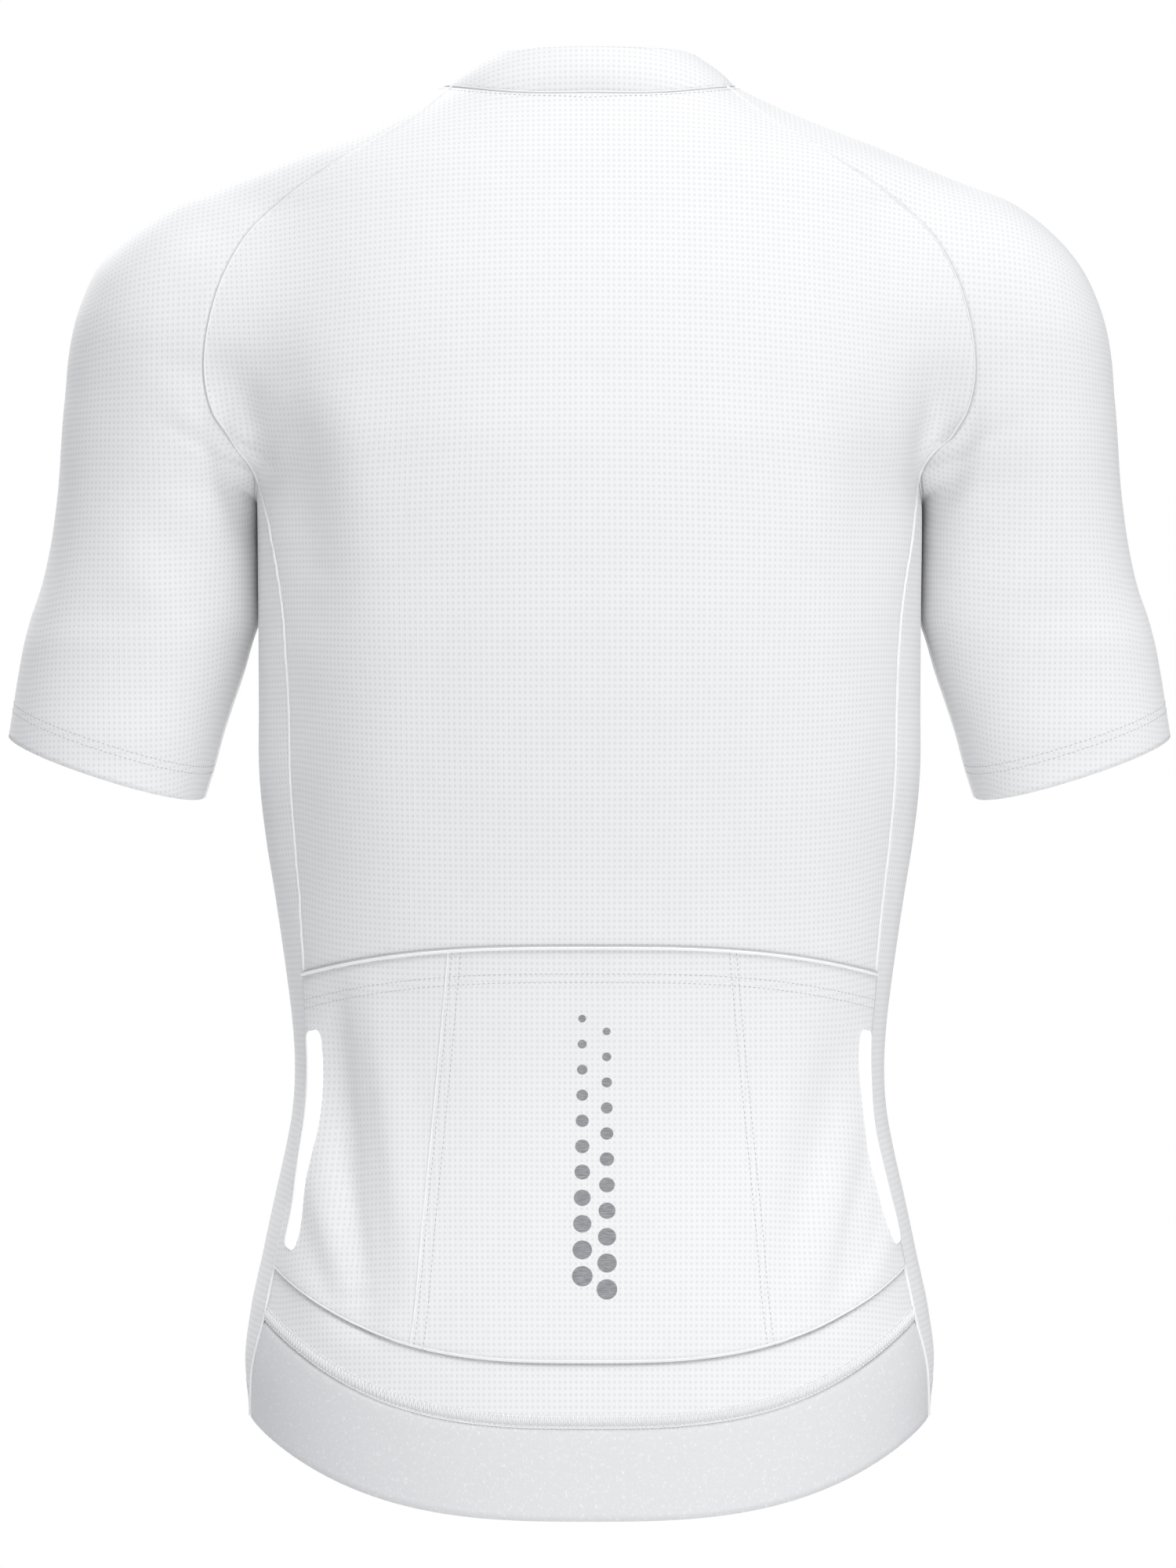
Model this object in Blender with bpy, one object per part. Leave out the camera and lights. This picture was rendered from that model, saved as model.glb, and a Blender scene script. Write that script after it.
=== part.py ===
"""Cycling jersey, short raglan sleeves and zipped stand collar, filled out as it is when worn.

The origin is the middle of the neck opening, level with the side-neck seams. The wearer faces -Y,
and left is the wearer's left, +X. Lengths in the tables are millimetres, and meshes are in metres.
"""

import math

import bmesh
import bpy
import numpy as np
from mathutils import Matrix, Vector

MM = 0.001

CLOTH = 1.2  # wall of every body and sleeve panel
COLLAR_CLOTH = 1.6
GRIPPER_CLOTH = 1.5
POCKET_CLOTH = 1.1
TAPE_CLOTH = 1.0
TAB_FILM = 0.6
SEAM_GAP = 0.3
LAYER_GAP = 0.3

SQUARENESS = 2.3  # exponent of the torso's oval sections, 2 being an ellipse
ARM_SQUARENESS = 2.1

PLACKET_HALF = 3.0  # from the centre front to each front's zip edge
TAPE_NEAR = 0.3
TAPE_FAR = 12.0
TAPE_DEPTH = 2.2  # from the jersey's outer face in to the tape's

NECK_HALF_WIDTH = 69.0
NECK_BACK = 50.0
NECK_FRONT = 64.0
NECK_SQUARENESS = (2.6, 2.8)  # exponents of the seam's back and front halves in plan
COLLAR_TOP_HALF_WIDTH = 53.5
COLLAR_TOP_BACK = 42.5
COLLAR_TOP_FRONT = 50.0
COLLAR_TOP_SQUARENESS = (2.2, 2.4)
COLLAR_TOP_NAPE = 15.0  # heights of the collar's top edge at the nape and at the zip
COLLAR_TOP_ZIP = -25.0
COLLAR_CROWN = 2.0  # how far the collar bows out between its seam and its top

BACK_COLUMNS = 25
FRONT_COLUMNS = 10
SLEEVE_COLUMNS = 17
COLLAR_ROWS = 4
POCKET_TOP = -409  # height, at the centre back, of the row of the back that the pocket panel starts from

TAB_WIDTH = 12.0
TAB_FROM_SEAM = 0.8
TAB_FIRST_ROW = 1  # of the pocket panel's rows
TAB_LAST_ROW = 6
TAB_ROUNDING = 5.0  # length of each rounded end
TAB_END_WIDTH = 0.45  # width of each end, as a share of the tab's
TAB_ROWS = 15

SLIDER_LENGTH = 10.0
SLIDER_HALF_WIDTH = 4.0
SLIDER_BELOW_TOP = 8.0  # from the collar's top edge to the slider's middle
SLIDER_STEM_HALF = 2.2
SLIDER_STEM_FOOT = -1.8  # every height here is out from the collar's outer face
SLIDER_PLATE_FOOT = 0.5
SLIDER_PLATE_TOP = 2.2
LUG_INNER = 1.4
LUG_OUTER = 2.4
LUG_TOP = 4.4
HINGE_UP = 2.6  # from the slider's middle, towards the collar's top
HINGE_OUT = 3.4
KNUCKLE_RADIUS = 0.9
NECK_HALF = 1.1  # of the pull's narrow bar between the lugs
PULL_NECK = 9.0
PULL_LENGTH = 21.0  # of the wide tab below the neck
PULL_HALF_WIDTH = 3.6
PULL_THICKNESS = 1.4


def table(columns, rows):
    """Named columns of a table, its rows in rising order of the first column."""
    ordered = sorted(rows)
    return {name: np.array([row[i] for row in ordered], float) for i, name in enumerate(columns.split())}


# Level sections of the torso.
TORSO = table("z half_width back front", [
    (30, 48, 38, 34),
    (12, 57, 42, 40),
    (5, 62, 44.5, 43),
    (0, 69, 46.5, 46),
    (-5, 78.5, 49, 48),
    (-10, 89.5, 51.5, 50),
    (-18, 108, 56.5, 52.5),
    (-25, 126, 61, 54.5),
    (-32, 144, 65.5, 56.5),
    (-40, 160, 70, 59),
    (-50, 166, 75, 62.5),
    (-65, 169, 82, 68.5),
    (-90, 172, 93, 79),
    (-120, 174, 103, 91),
    (-150, 171, 110, 101),
    (-170, 165, 114, 106.5),
    (-184, 160.8, 115.5, 109.5),
    (-200, 159.2, 116.5, 112),
    (-230, 158.6, 117, 115.5),
    (-265, 158.2, 116, 117),
    (-300, 158, 112.5, 116),
    (-333, 157.6, 107.5, 113.5),
    (-352, 155.6, 104, 112),
    (-370, 152.8, 101, 110.5),
    (-389, 149.8, 97.5, 109),
    (-408, 147, 95, 107.5),
    (-427, 144.3, 93, 106),
    (-445, 142.1, 92, 105),
    (-464, 140.8, 91.5, 104.5),
    (-482, 141.2, 92.5, 104.5),
    (-502, 144.2, 94.5, 105),
    (-520, 148.2, 97.5, 105.5),
    (-539, 152.4, 101, 106.5),
    (-558, 156.4, 104.5, 107.5),
    (-577, 160.6, 108, 108.5),
    (-595, 163.6, 110.5, 109.5),
    (-612, 164.6, 112.5, 110),
    (-633, 162.6, 113.5, 110),
    (-655, 160.5, 113.5, 109.5),
    (-690, 157, 113, 109),
])

# Level sections of the left arm: its nearest and furthest x, and its depth to each side of centre_y.
ARM = table("z inner outer centre_y back front", [
    (-30, 112, 130, -2, 6, 6),
    (-38, 114, 152, -2, 14, 14),
    (-44, 116, 170, -2, 22, 22),
    (-50, 118, 190, -2, 29, 29),
    (-57, 120, 205, -2, 36, 36),
    (-66, 122, 217, -3, 43, 43),
    (-76, 123, 227.5, -3, 49, 49),
    (-89, 124, 237, -4, 54.5, 54.5),
    (-103, 124, 243.5, -5, 58.5, 58),
    (-118, 125, 248, -6, 61, 60),
    (-130, 127, 250, -7, 61.5, 60.5),
    (-146, 133, 251.3, -8, 61, 60),
    (-160, 141, 252.6, -9, 60, 59),
    (-172, 149, 253.4, -10, 59, 58),
    (-184, 156.4, 254.2, -11, 57.5, 57),
    (-192, 159.4, 254.9, -12, 57, 56.5),
    (-200, 160.6, 255.8, -12, 56, 56),
    (-220, 160.4, 258.8, -13, 54.5, 54.5),
    (-239, 159.8, 263.2, -14, 53.5, 53.5),
    (-254, 160.2, 268.4, -15, 52.5, 52.5),
    (-265, 162.6, 271.4, -15, 52, 52),
    (-277, 166, 273.8, -16, 51.5, 51.5),
    (-295, 172, 276.8, -17, 51, 51),
    (-309, 176.5, 279, -17, 50.5, 50.5),
    (-324, 180.5, 281.5, -18, 50, 50),
    (-345, 187, 284, -18, 49.5, 49.5),
    (-365, 192, 287, -18, 49.5, 49.5),
])

# How widely the torso and the arm run into each other: broad at the shoulder, a crease at the armpit.
BLEND = table("z radius", [
    (30, 10),
    (-32, 12),
    (-60, 26),
    (-100, 40),
    (-125, 38),
    (-145, 28),
    (-160, 18),
    (-172, 11),
    (-184, 7),
    (-192, 4.5),
    (-199, 1.0),
    (-206, 0.05),
    (-400, 0.05),
])

# Rows of the left sleeve from the neck to the armhole's corners: the fold over the shoulder, the seams
# to the back and to the front panel, and a point inside that the row is swung about.
SHOULDER_ROWS = (
    # top_x, top_z, back_x, back_z, front_x, front_z, inside_x, inside_z
    (69, 0, 65, -4, 65, -9, 58, -30),
    (90, -10.4, 80, -15, 77, -25, 74, -42),
    (112, -19.5, 97, -26.5, 91, -44, 92, -58),
    (136, -28.8, 116, -38.5, 104, -65, 110, -74),
    (160, -39, 135, -51, 117, -86, 128, -88),
    (182, -46.8, 150, -63, 128, -106, 144, -100),
    (202, -55.4, 161.5, -75, 137, -124, 158, -111),
    (220, -69, 171, -92, 145, -140, 171, -121),
    (234, -85, 177, -109.5, 151, -152, 181, -130),
    (242.5, -101.5, 180.4, -128, 155, -161, 189, -139),
    (247.6, -117, 180.6, -144, 158, -169, 195, -147),
    (250.4, -133, 177, -158.5, 160, -174, 199, -154),
    (251.8, -148, 169, -171, 160.5, -178, 203, -160),
)
# Rows across the armhole's lower edge: the fold over the arm, then where the edge is crossed.
ARMHOLE_ROWS = (
    # top_z, back_x, back_y, front_x, front_y, inside_z
    (-160, 160, 18, 158, -38, -167),
    (-172, 160, 6, 159.4, -25, -176),
    (-184, 160, -10, 160, -10, -187),
)
# Rows from the armpit to the cuff: the underarm seam and the outer fold.
CUFF_ROWS = (
    # inner_z, outer_z, back_drop: how far the row's back dips and its front rises, as a slope
    (-208, -197, 0.01),
    (-226, -212, 0.03),
    (-246, -229, 0.05),
    (-262, -244, 0.07),
    (-280, -259, 0.09),
    (-301, -276, 0.10),
    (-321, -293, 0.11),
    (-339.5, -309, 0.12),
)

# Rows of the body below the armholes: heights at the centre back, at the two ends of the side panel,
# and at the centre front.
BODY_ROWS = (
    # back, back_seam, front_seam, front, piece
    (-204, -204, -204, -203, "back_panel"),
    (-230, -230, -230, -226, "back_panel"),
    (-262, -262, -262, -256, "back_panel"),
    (-296, -296, -294, -287, "back_panel"),
    (-328, -328, -326, -318, "back_panel"),
    (-356, -358, -355, -346, "back_panel"),
    (-383, -390, -386, -375, "back_panel"),
    (-409, -423, -416, -403, "back_panel"),
    (-437, -450, -442, -428, "back_panel"),
    (-465, -470, -464, -450, "back_panel"),
    (-492, -489.5, -485, -471, "back_panel"),
    (-519, -509, -505, -491, "back_panel"),
    (-547, -528.5, -523, -510, "back_panel"),
    (-579, -548, -541, -528, "back_panel"),
    (-600, -561, -555, -542, "back_panel"),
    (-615, -573, -567, -554, "back_lower_band"),
    (-630, -585.5, -580, -566, "back_lower_band"),
    (-651, -608, -600, -581, "hem_gripper"),
    (-673, -633, -622, -597, "hem_gripper"),
)

# How far round from the centre back the side panel's two seams lie, in degrees.
SIDE_SEAMS = table("z back front", [
    (-183, 83, 106.5),
    (-204, 76, 108),
    (-236, 70, 110),
    (-300, 67, 111),
    (-370, 67, 111),
    (-452, 68, 111),
    (-563, 70, 111),
    (-586, 70.5, 111),
    (-606, 74.5, 111),
    (-634, 83, 112),
])

# Soft troughs in the back: two ends, half-width and depth.
BACK_FOLDS = (
    # from_x, from_z, to_x, to_z, half_width, depth
    (116, -440, 97, -476, 8, 2.2),
    (103, -486, 94, -570, 7, 2.0),
    (119, -504, 104, -560, 6, 1.4),
    (-114, -474, -92, -566, 8, 2.2),
    (-124, -504, -114, -548, 6, 1.2),
    (150, -150, 120, -230, 13, 2.6),
    (162, -178, 144, -240, 9, 2.2),
    (-150, -152, -124, -228, 13, 2.4),
    (-162, -178, -148, -234, 9, 2.0),
)


def curve(rows, column, at):
    """The smooth curve through a table's column, read at heights `at`."""
    keys = rows["z"]
    values = rows[column]
    slopes = np.gradient(values, keys)
    at = np.clip(at, keys[0], keys[-1])
    low = np.clip(np.searchsorted(keys, at) - 1, 0, len(keys) - 2)
    step = keys[low + 1] - keys[low]
    t = (at - keys[low]) / step
    rise = step * (t * (1 - t) ** 2 * slopes[low] + t * t * (t - 1) * slopes[low + 1])
    return (1 + 2 * t) * (1 - t) ** 2 * values[low] + t * t * (3 - 2 * t) * values[low + 1] + rise


def oval(x, y, half_width, depth, squareness):
    """Below zero inside the oval section, above it outside, and about the distance to it nearby."""
    reach = (np.abs(x / half_width) ** squareness + np.abs(y / depth) ** squareness) ** (1 / squareness)
    reach = np.maximum(reach, 0.02)
    return np.maximum(np.hypot(x, y), 1.0) * (1 - 1 / reach)


def torso(x, y, z):
    depth = np.where(y > 0, curve(TORSO, "back", z), curve(TORSO, "front", z))
    return oval(x, y, curve(TORSO, "half_width", z), depth, SQUARENESS)


def arm(x, y, z):
    inner = curve(ARM, "inner", z)
    outer = curve(ARM, "outer", z)
    off_centre = y - curve(ARM, "centre_y", z)
    depth = np.where(off_centre > 0, curve(ARM, "back", z), curve(ARM, "front", z))
    section = oval(np.abs(x) - (inner + outer) / 2, off_centre, (outer - inner) / 2, depth, ARM_SQUARENESS)
    return section + 2 * np.maximum(z - ARM["z"][-1], 0)


def skin(x, y, z):
    """The jersey's outer face is where this is zero: the torso and the arms run into each other."""
    body = torso(x, y, z)
    limb = arm(x, y, z)
    radius = curve(BLEND, "radius", z)
    overlap = np.maximum(radius - np.abs(body - limb), 0) / radius
    return np.minimum(body, limb) - overlap**2 * radius / 4


def outward(points, form=skin):
    """Unit directions out of a form, for a list or a grid of points on it."""
    step = 0.05
    flat = points.reshape(-1, 3)
    slope = []
    for nudge in np.eye(3) * step:
        slope.append(form(*(flat + nudge).T) - form(*(flat - nudge).T))
    slope = np.array(slope).T
    slope /= np.linalg.norm(slope, axis=1)[:, None]
    return slope.reshape(points.shape)


def meet(start, direction, reach=400.0, form=skin):
    """Where rays from inside a form, each along its own direction, meet its outer face."""
    start = np.asarray(start, float)
    direction = np.broadcast_to(np.asarray(direction, float), start.shape)
    pace = 5.0
    lengths = np.arange(pace, reach, pace)
    steps = start[:, None, :] + direction[:, None, :] * lengths[:, None]
    outside = form(*steps.reshape(-1, 3).T).reshape(len(start), -1) > 0
    # The first step that ends outside holds the crossing.
    far = lengths[np.argmax(outside, axis=1)]
    near = far - pace
    for _ in range(24):
        middle = (near + far) / 2
        inside = form(*(start + direction * middle[:, None]).T) < 0
        near = np.where(inside, middle, near)
        far = np.where(inside, far, middle)
    return start + direction * ((near + far) / 2)[:, None]


def seam_point(x, z, side):
    """The point of the outer face at x and z, on the back where side is 1 and on the front at -1."""
    inside_y = -8.0 if x > 120 else 0.0
    return meet([(x, inside_y, z)], (0, side, 0))[0]


def armhole_point(x, y):
    """The point of the armhole's lower edge above x and y: up the crease between torso and arm."""
    return meet([(x, y, -150.0)], (0, 0, -1))[0]


def plan(turns, half_width, back, front, squareness):
    """Points of a ring seen from above, at angles from the centre back, round by the left."""
    sine, cosine = np.sin(turns), np.cos(turns)
    on_back = cosine > 0
    back_power, front_power = squareness[0], 2 / squareness[1]
    x = half_width * np.sign(sine) * np.where(on_back, np.abs(sine), np.abs(sine) ** front_power)
    reach = np.maximum(1 - np.abs(sine) ** back_power, 0) ** (1 / back_power)
    y = np.where(on_back, back * reach, -front * np.abs(cosine) ** front_power)
    return np.stack([x, y], 1)


def neck_points(turns):
    """The collar seam at angles from the centre back, round by the left."""
    ring = plan(np.asarray(turns, float), NECK_HALF_WIDTH, NECK_BACK, NECK_FRONT, NECK_SQUARENESS)
    return meet(np.insert(ring, 2, -120.0, axis=1), (0, 0, 1))


def neck_turn(x, side):
    """The angle from the centre back at which the collar seam passes x, on the back or on the front."""
    if side > 0:
        return math.asin(min(1.0, x / NECK_HALF_WIDTH))
    return math.pi - math.asin((x / NECK_HALF_WIDTH) ** (NECK_SQUARENESS[1] / 2))


def sleeve_row(top, back, front, inside, form=skin, back_drop=0.0):
    """One row of the left sleeve, from its back edge over the top to its front edge."""
    top, back, front, inside = (np.asarray(p, float) for p in (top, back, front, inside))
    rise = top - inside
    rise[1] = 0
    rise /= np.linalg.norm(rise)
    across = np.array((0.0, 1.0, 0.0))
    aside = np.cross(rise, across)
    ends = []
    for edge, side in ((back, 1), (front, -1)):
        leg = edge - inside
        turn = math.atan2(side * leg @ across, leg @ rise) % (2 * math.pi)
        ends.append((side * turn, leg @ aside / math.hypot(leg @ rise, leg @ across)))
    directions = []
    for share in np.linspace(0, 1, SLEEVE_COLUMNS):
        turn = ends[0][0] + (ends[1][0] - ends[0][0]) * share
        end_turn, lean = ends[0] if turn > 0 else ends[1]
        lean = lean * (turn / end_turn) ** 2 - back_drop * math.sin(turn)
        directions.append(math.cos(turn) * rise + math.sin(turn) * across + lean * aside)
    row = meet(np.tile(inside, (SLEEVE_COLUMNS, 1)), np.array(directions), form=form)
    row[0] = back
    row[-1] = front
    return row


def arm_centre(z):
    inner = float(curve(ARM, "inner", z))
    outer = float(curve(ARM, "outer", z))
    return np.array(((inner + outer) / 2, float(curve(ARM, "centre_y", z)), z))


def arm_fold(z, side):
    """The arm's outermost point at z where side is 1, and its nearest to the torso at -1."""
    point = arm_centre(z)
    point[0] = float(curve(ARM, "outer" if side > 0 else "inner", z))
    return point


def sleeve_points():
    """The left sleeve's outer face, and the rows at which its two edges leave the panels."""
    rows = []
    for i, (top_x, top_z, back_x, back_z, front_x, front_z, inside_x, inside_z) in enumerate(SHOULDER_ROWS):
        inside = np.array((inside_x, -3.0 - 6.0 * i / len(SHOULDER_ROWS), inside_z))
        top = np.array((top_x, inside[1], top_z))
        if i == 0:
            turns = np.linspace(neck_turn(back_x, 1), neck_turn(front_x, -1), SLEEVE_COLUMNS)
            rows.append(neck_points(turns))
            continue
        back = seam_point(back_x, back_z, 1)
        front = seam_point(front_x, front_z, -1)
        rows.append(sleeve_row(top, back, front, inside))
    for top_z, back_x, back_y, front_x, front_y, inside_z in ARMHOLE_ROWS:
        back = armhole_point(back_x, back_y)
        front = armhole_point(front_x, front_y)
        rows.append(sleeve_row(arm_fold(top_z, 1), back, front, arm_centre(inside_z), arm))
    for inner_z, outer_z, back_drop in CUFF_ROWS:
        inner = arm_fold(inner_z, -1)
        outer = arm_fold(outer_z, 1)
        rows.append(sleeve_row(outer, inner, inner, (inner + outer) / 2, arm, back_drop))
    return np.array(rows)


def spread(share, angle):
    """Where a share of the way round to an angle lies, as a share of the x there."""
    turned = np.sin(np.abs(share) * angle) / math.sin(angle)
    return np.sign(share) * turned ** (2 / SQUARENESS)


def ring_point(degrees, z):
    """The torso's outer face at an angle from the centre back, round by the left."""
    turn = math.radians(degrees)
    depth = curve(TORSO, "back" if degrees < 90 else "front", z)
    x = curve(TORSO, "half_width", z) * math.sin(turn) ** (2 / SQUARENESS)
    y = depth * math.copysign(abs(math.cos(turn)) ** (2 / SQUARENESS), math.cos(turn))
    return np.array((float(x), float(y), z))


def fold_depth(points):
    """How deep the soft troughs of the back are at each point."""
    depth = np.zeros(len(points))
    for from_x, from_z, to_x, to_z, half_width, deepest in BACK_FOLDS:
        start = np.array((from_x, from_z), float)
        run = np.array((to_x, to_z), float) - start
        along = np.clip(((points[:, [0, 2]] - start) @ run) / (run @ run), 0, 1)
        apart = np.linalg.norm(points[:, [0, 2]] - start - along[:, None] * run, axis=1)
        depth += deepest * np.exp(-((apart / half_width) ** 2)) * np.sin(math.pi * (0.15 + 0.7 * along))
    return depth


def body_edges(sleeve):
    """Heights and edge points of the body's rows: shoulder rows, then the rows below the armhole."""
    corner = len(SHOULDER_ROWS)
    back = [row[0] for row in sleeve[: corner + 1]]
    front = [row[-1] for row in sleeve[: corner + 1]]
    for _, back_z, front_z, _, _ in BODY_ROWS:
        back.append(ring_point(float(curve(SIDE_SEAMS, "back", back_z)), back_z))
        front.append(ring_point(float(curve(SIDE_SEAMS, "front", front_z)), front_z))
    return np.array(back), np.array(front)


def back_points(edge):
    """The whole back's outer face, neck to hem, one row for each point of its left edge."""
    centres = [None, *edge[1 : len(SHOULDER_ROWS) + 1, 2], *(row[0] for row in BODY_ROWS)]
    rows = []
    for i, (end, centre_z) in enumerate(zip(edge, centres)):
        share = np.linspace(-1, 1, BACK_COLUMNS)
        if i == 0:
            last = neck_turn(SHOULDER_ROWS[0][2], 1)
            rows.append(neck_points(last * share))
            continue
        angle = math.radians(float(curve(SIDE_SEAMS, "back", end[2])))
        x = end[0] * spread(share, angle)
        z = centre_z + (end[2] - centre_z) * np.abs(x / end[0]) ** 3
        rows.append(meet(np.stack([x, np.where(np.abs(x) > 120, -8.0, 0.0), z], 1), (0, 1, 0)))
        rows[-1][[0, -1]] = end * (-1, 1, 1), end
    return np.array(rows)


def front_points(edge):
    """The left front's outer face, from its raglan and side edge to its zip edge."""
    first_x = SHOULDER_ROWS[0][4]
    neck_x = np.linspace(first_x, PLACKET_HALF, FRONT_COLUMNS)
    neckline = neck_points([neck_turn(x, -1) for x in neck_x])
    drop = (neckline[:, 2] - neckline[0, 2]) / (neckline[-1, 2] - neckline[0, 2])
    above = len(SHOULDER_ROWS) + 1
    zip_z = np.linspace(neckline[-1, 2], BODY_ROWS[0][3] + 12, above)
    centres = [*zip_z, *(row[3] for row in BODY_ROWS)]
    rows = [neckline]
    for i in range(1, len(edge)):
        end = edge[i]
        angle = math.radians(180 - float(curve(SIDE_SEAMS, "front", end[2])))
        share = spread(np.linspace(1, 0, FRONT_COLUMNS), angle)
        x = PLACKET_HALF + (end[0] - PLACKET_HALF) * share
        # The rows hang like the neckline at the top, and like the hem's shallow arch lower down.
        plain = min(1.0, i / above)
        hung = np.interp(x, neck_x[::-1] * end[0] / first_x, drop[::-1])
        z = end[2] + (centres[i] - end[2]) * ((1 - plain) * hung + plain * (1 - share**2))
        rows.append(meet(np.stack([x, np.where(x > 120, -8.0, 0.0), z], 1), (0, -1, 0)))
        rows[-1][0] = end
    return np.array(rows)


def side_points(sleeve, back_edge, front_edge):
    """The left side panel's outer face, from the armhole's lower edge to the hem."""
    corner = len(SHOULDER_ROWS)
    lower = sleeve[corner : corner + len(ARMHOLE_ROWS)]
    armhole = [row[0] for row in lower] + [row[-1] for row in lower[-2::-1]]
    rows = [np.array(armhole)]
    columns = len(armhole)
    for back, front in zip(back_edge[corner + 1 :], front_edge[corner + 1 :]):
        first = float(curve(SIDE_SEAMS, "back", back[2]))
        last = float(curve(SIDE_SEAMS, "front", front[2]))
        share = np.linspace(0, 1, columns)
        heights = back[2] + (front[2] - back[2]) * share
        rows.append(np.array([ring_point(first + (last - first) * s, z) for s, z in zip(share, heights)]))
    return np.array(rows)


def across_grid(points):
    """Unit directions square to a grid whose rows rise and whose columns run round by the left."""
    up = np.gradient(points, axis=0)
    along = np.gradient(points, axis=1)
    square = np.cross(up, along)
    return square / np.linalg.norm(square, axis=2)[..., None]


def trimmed(points, *sides):
    """The grid with the named edges drawn in, so that pieces stay a seam's gap apart."""
    points = points.copy()
    moves = {"first_row": (0, 1), "last_row": (-1, -2)}
    for side, (edge, beside) in moves.items():
        if side in sides:
            inward = points[beside] - points[edge]
            points[edge] += inward / np.linalg.norm(inward, axis=1)[:, None] * SEAM_GAP / 2
    moves = {"first_column": (0, 1), "last_column": (-1, -2)}
    for side, (edge, beside) in moves.items():
        if side in sides:
            inward = points[:, beside] - points[:, edge]
            points[:, edge] += inward / np.linalg.norm(inward, axis=1)[:, None] * SEAM_GAP / 2
    return points


def material(name, colour, roughness, metallic=0.0):
    made = bpy.data.materials.new(name)
    made.use_nodes = True
    shader = made.node_tree.nodes["Principled BSDF"]
    shader.inputs["Base Color"].default_value = (*colour, 1)
    shader.inputs["Roughness"].default_value = roughness
    shader.inputs["Metallic"].default_value = metallic
    made.diffuse_color = (*colour, 1)
    return made


def add_object(name, shell, finish):
    bmesh.ops.recalc_face_normals(shell, faces=shell.faces)
    mesh = bpy.data.meshes.new(name)
    shell.to_mesh(mesh)
    shell.free()
    mesh.materials.append(finish)
    mesh.shade_smooth()
    mesh.set_sharp_from_angle(angle=math.radians(40))
    made = bpy.data.objects.new(name, mesh)
    bpy.context.scene.collection.objects.link(made)
    return made


def cloth_wall(name, outer, inner, finish):
    """A closed wall between two grids of points, mirrored pieces included."""
    rows, columns = outer.shape[:2]
    shell = bmesh.new()
    bmesh.ops.create_grid(shell, x_segments=columns - 1, y_segments=rows - 1, size=1)
    place = shell.verts.layers.int.new("place")
    for i, vertex in enumerate(shell.verts):
        vertex[place] = i
    raised = bmesh.ops.extrude_face_region(shell, geom=shell.faces[:], use_keep_orig=True)
    lining = {item for item in raised["geom"] if isinstance(item, bmesh.types.BMVert)}
    outer_flat = outer.reshape(-1, 3) * MM
    inner_flat = inner.reshape(-1, 3) * MM
    for vertex in shell.verts:
        vertex.co = (inner_flat if vertex in lining else outer_flat)[vertex[place]]
    bmesh.ops.triangulate(shell, faces=shell.faces, quad_method="SHORT_EDGE")
    return add_object(name, shell, finish)


def mirrored(points):
    return points * (-1, 1, 1)


def cloth_pair(name, outer, inner, finish):
    """The left piece and its mirror image on the right."""
    cloth_wall(f"{name}_left", outer, inner, finish)
    cloth_wall(f"{name}_right", mirrored(outer), mirrored(inner), finish)


def build_body(finish_dots, finish_gripper, finish_tab):
    sleeve = sleeve_points()
    back_edge, front_edge = body_edges(sleeve)
    back = back_points(back_edge)
    folds = fold_depth(back.reshape(-1, 3)).reshape(back.shape[:2])
    folds[:, [0, 1, -2, -1]] = 0
    corner = len(SHOULDER_ROWS)
    back_out = outward(back)
    back_out[corner, [0, -1]] = outward(back[corner, [0, -1]], torso)
    back = back - back_out * folds[..., None]

    above = len(SHOULDER_ROWS) + 1
    last_row = {}
    for i, row in enumerate(BODY_ROWS):
        last_row[row[4]] = above + i
    starts = {
        "back_panel": 0,
        "back_lower_band": last_row["back_panel"],
        "hem_gripper": last_row["back_lower_band"],
    }
    for piece, start in starts.items():
        stop = last_row[piece] + 1
        sides = ["first_column", "last_column", "first_row"]
        if piece != "hem_gripper":
            sides.append("last_row")
        outer = trimmed(back[start:stop], *sides)
        wall = GRIPPER_CLOTH if piece == "hem_gripper" else CLOTH
        finish = finish_gripper if piece == "hem_gripper" else finish_dots
        cloth_wall(piece, outer, outer - back_out[start:stop] * wall, finish)

    first = above + [row[0] for row in BODY_ROWS].index(POCKET_TOP)
    pocket = slice(first, last_row["back_panel"] + 1)
    under = back[pocket] + back_out[pocket] * LAYER_GAP
    under = trimmed(under, "first_column", "last_column", "last_row")
    pocket_outer = under + back_out[pocket] * POCKET_CLOTH
    cloth_wall("pocket_panel", pocket_outer, under, finish_dots)
    build_tab("reflective_tab_left", pocket_outer[:, [-1, -2]], back_out[pocket][:, -1], finish_tab)
    build_tab("reflective_tab_right", pocket_outer[:, [0, 1]], back_out[pocket][:, 0], finish_tab)

    side = side_points(sleeve, back_edge, front_edge)
    side_out = outward(side, torso)
    outer = trimmed(side, "first_row", "first_column", "last_column")
    cloth_pair("side_panel", outer, outer - side_out * CLOTH, finish_dots)

    front = front_points(front_edge)
    front_out = outward(front)
    front_out[corner, 0] = outward(front[corner, 0], torso)
    outer = trimmed(front, "first_row", "first_column")
    cloth_pair("front", outer, outer - front_out * CLOTH, finish_dots)

    sleeve_out = outward(sleeve)
    sleeve_out[corner:] = outward(sleeve[corner:], arm)
    outer = trimmed(sleeve, "first_row", "first_column", "last_column")
    cloth_pair("sleeve", outer, outer - sleeve_out * CLOTH, finish_dots)
    return back, front


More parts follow.
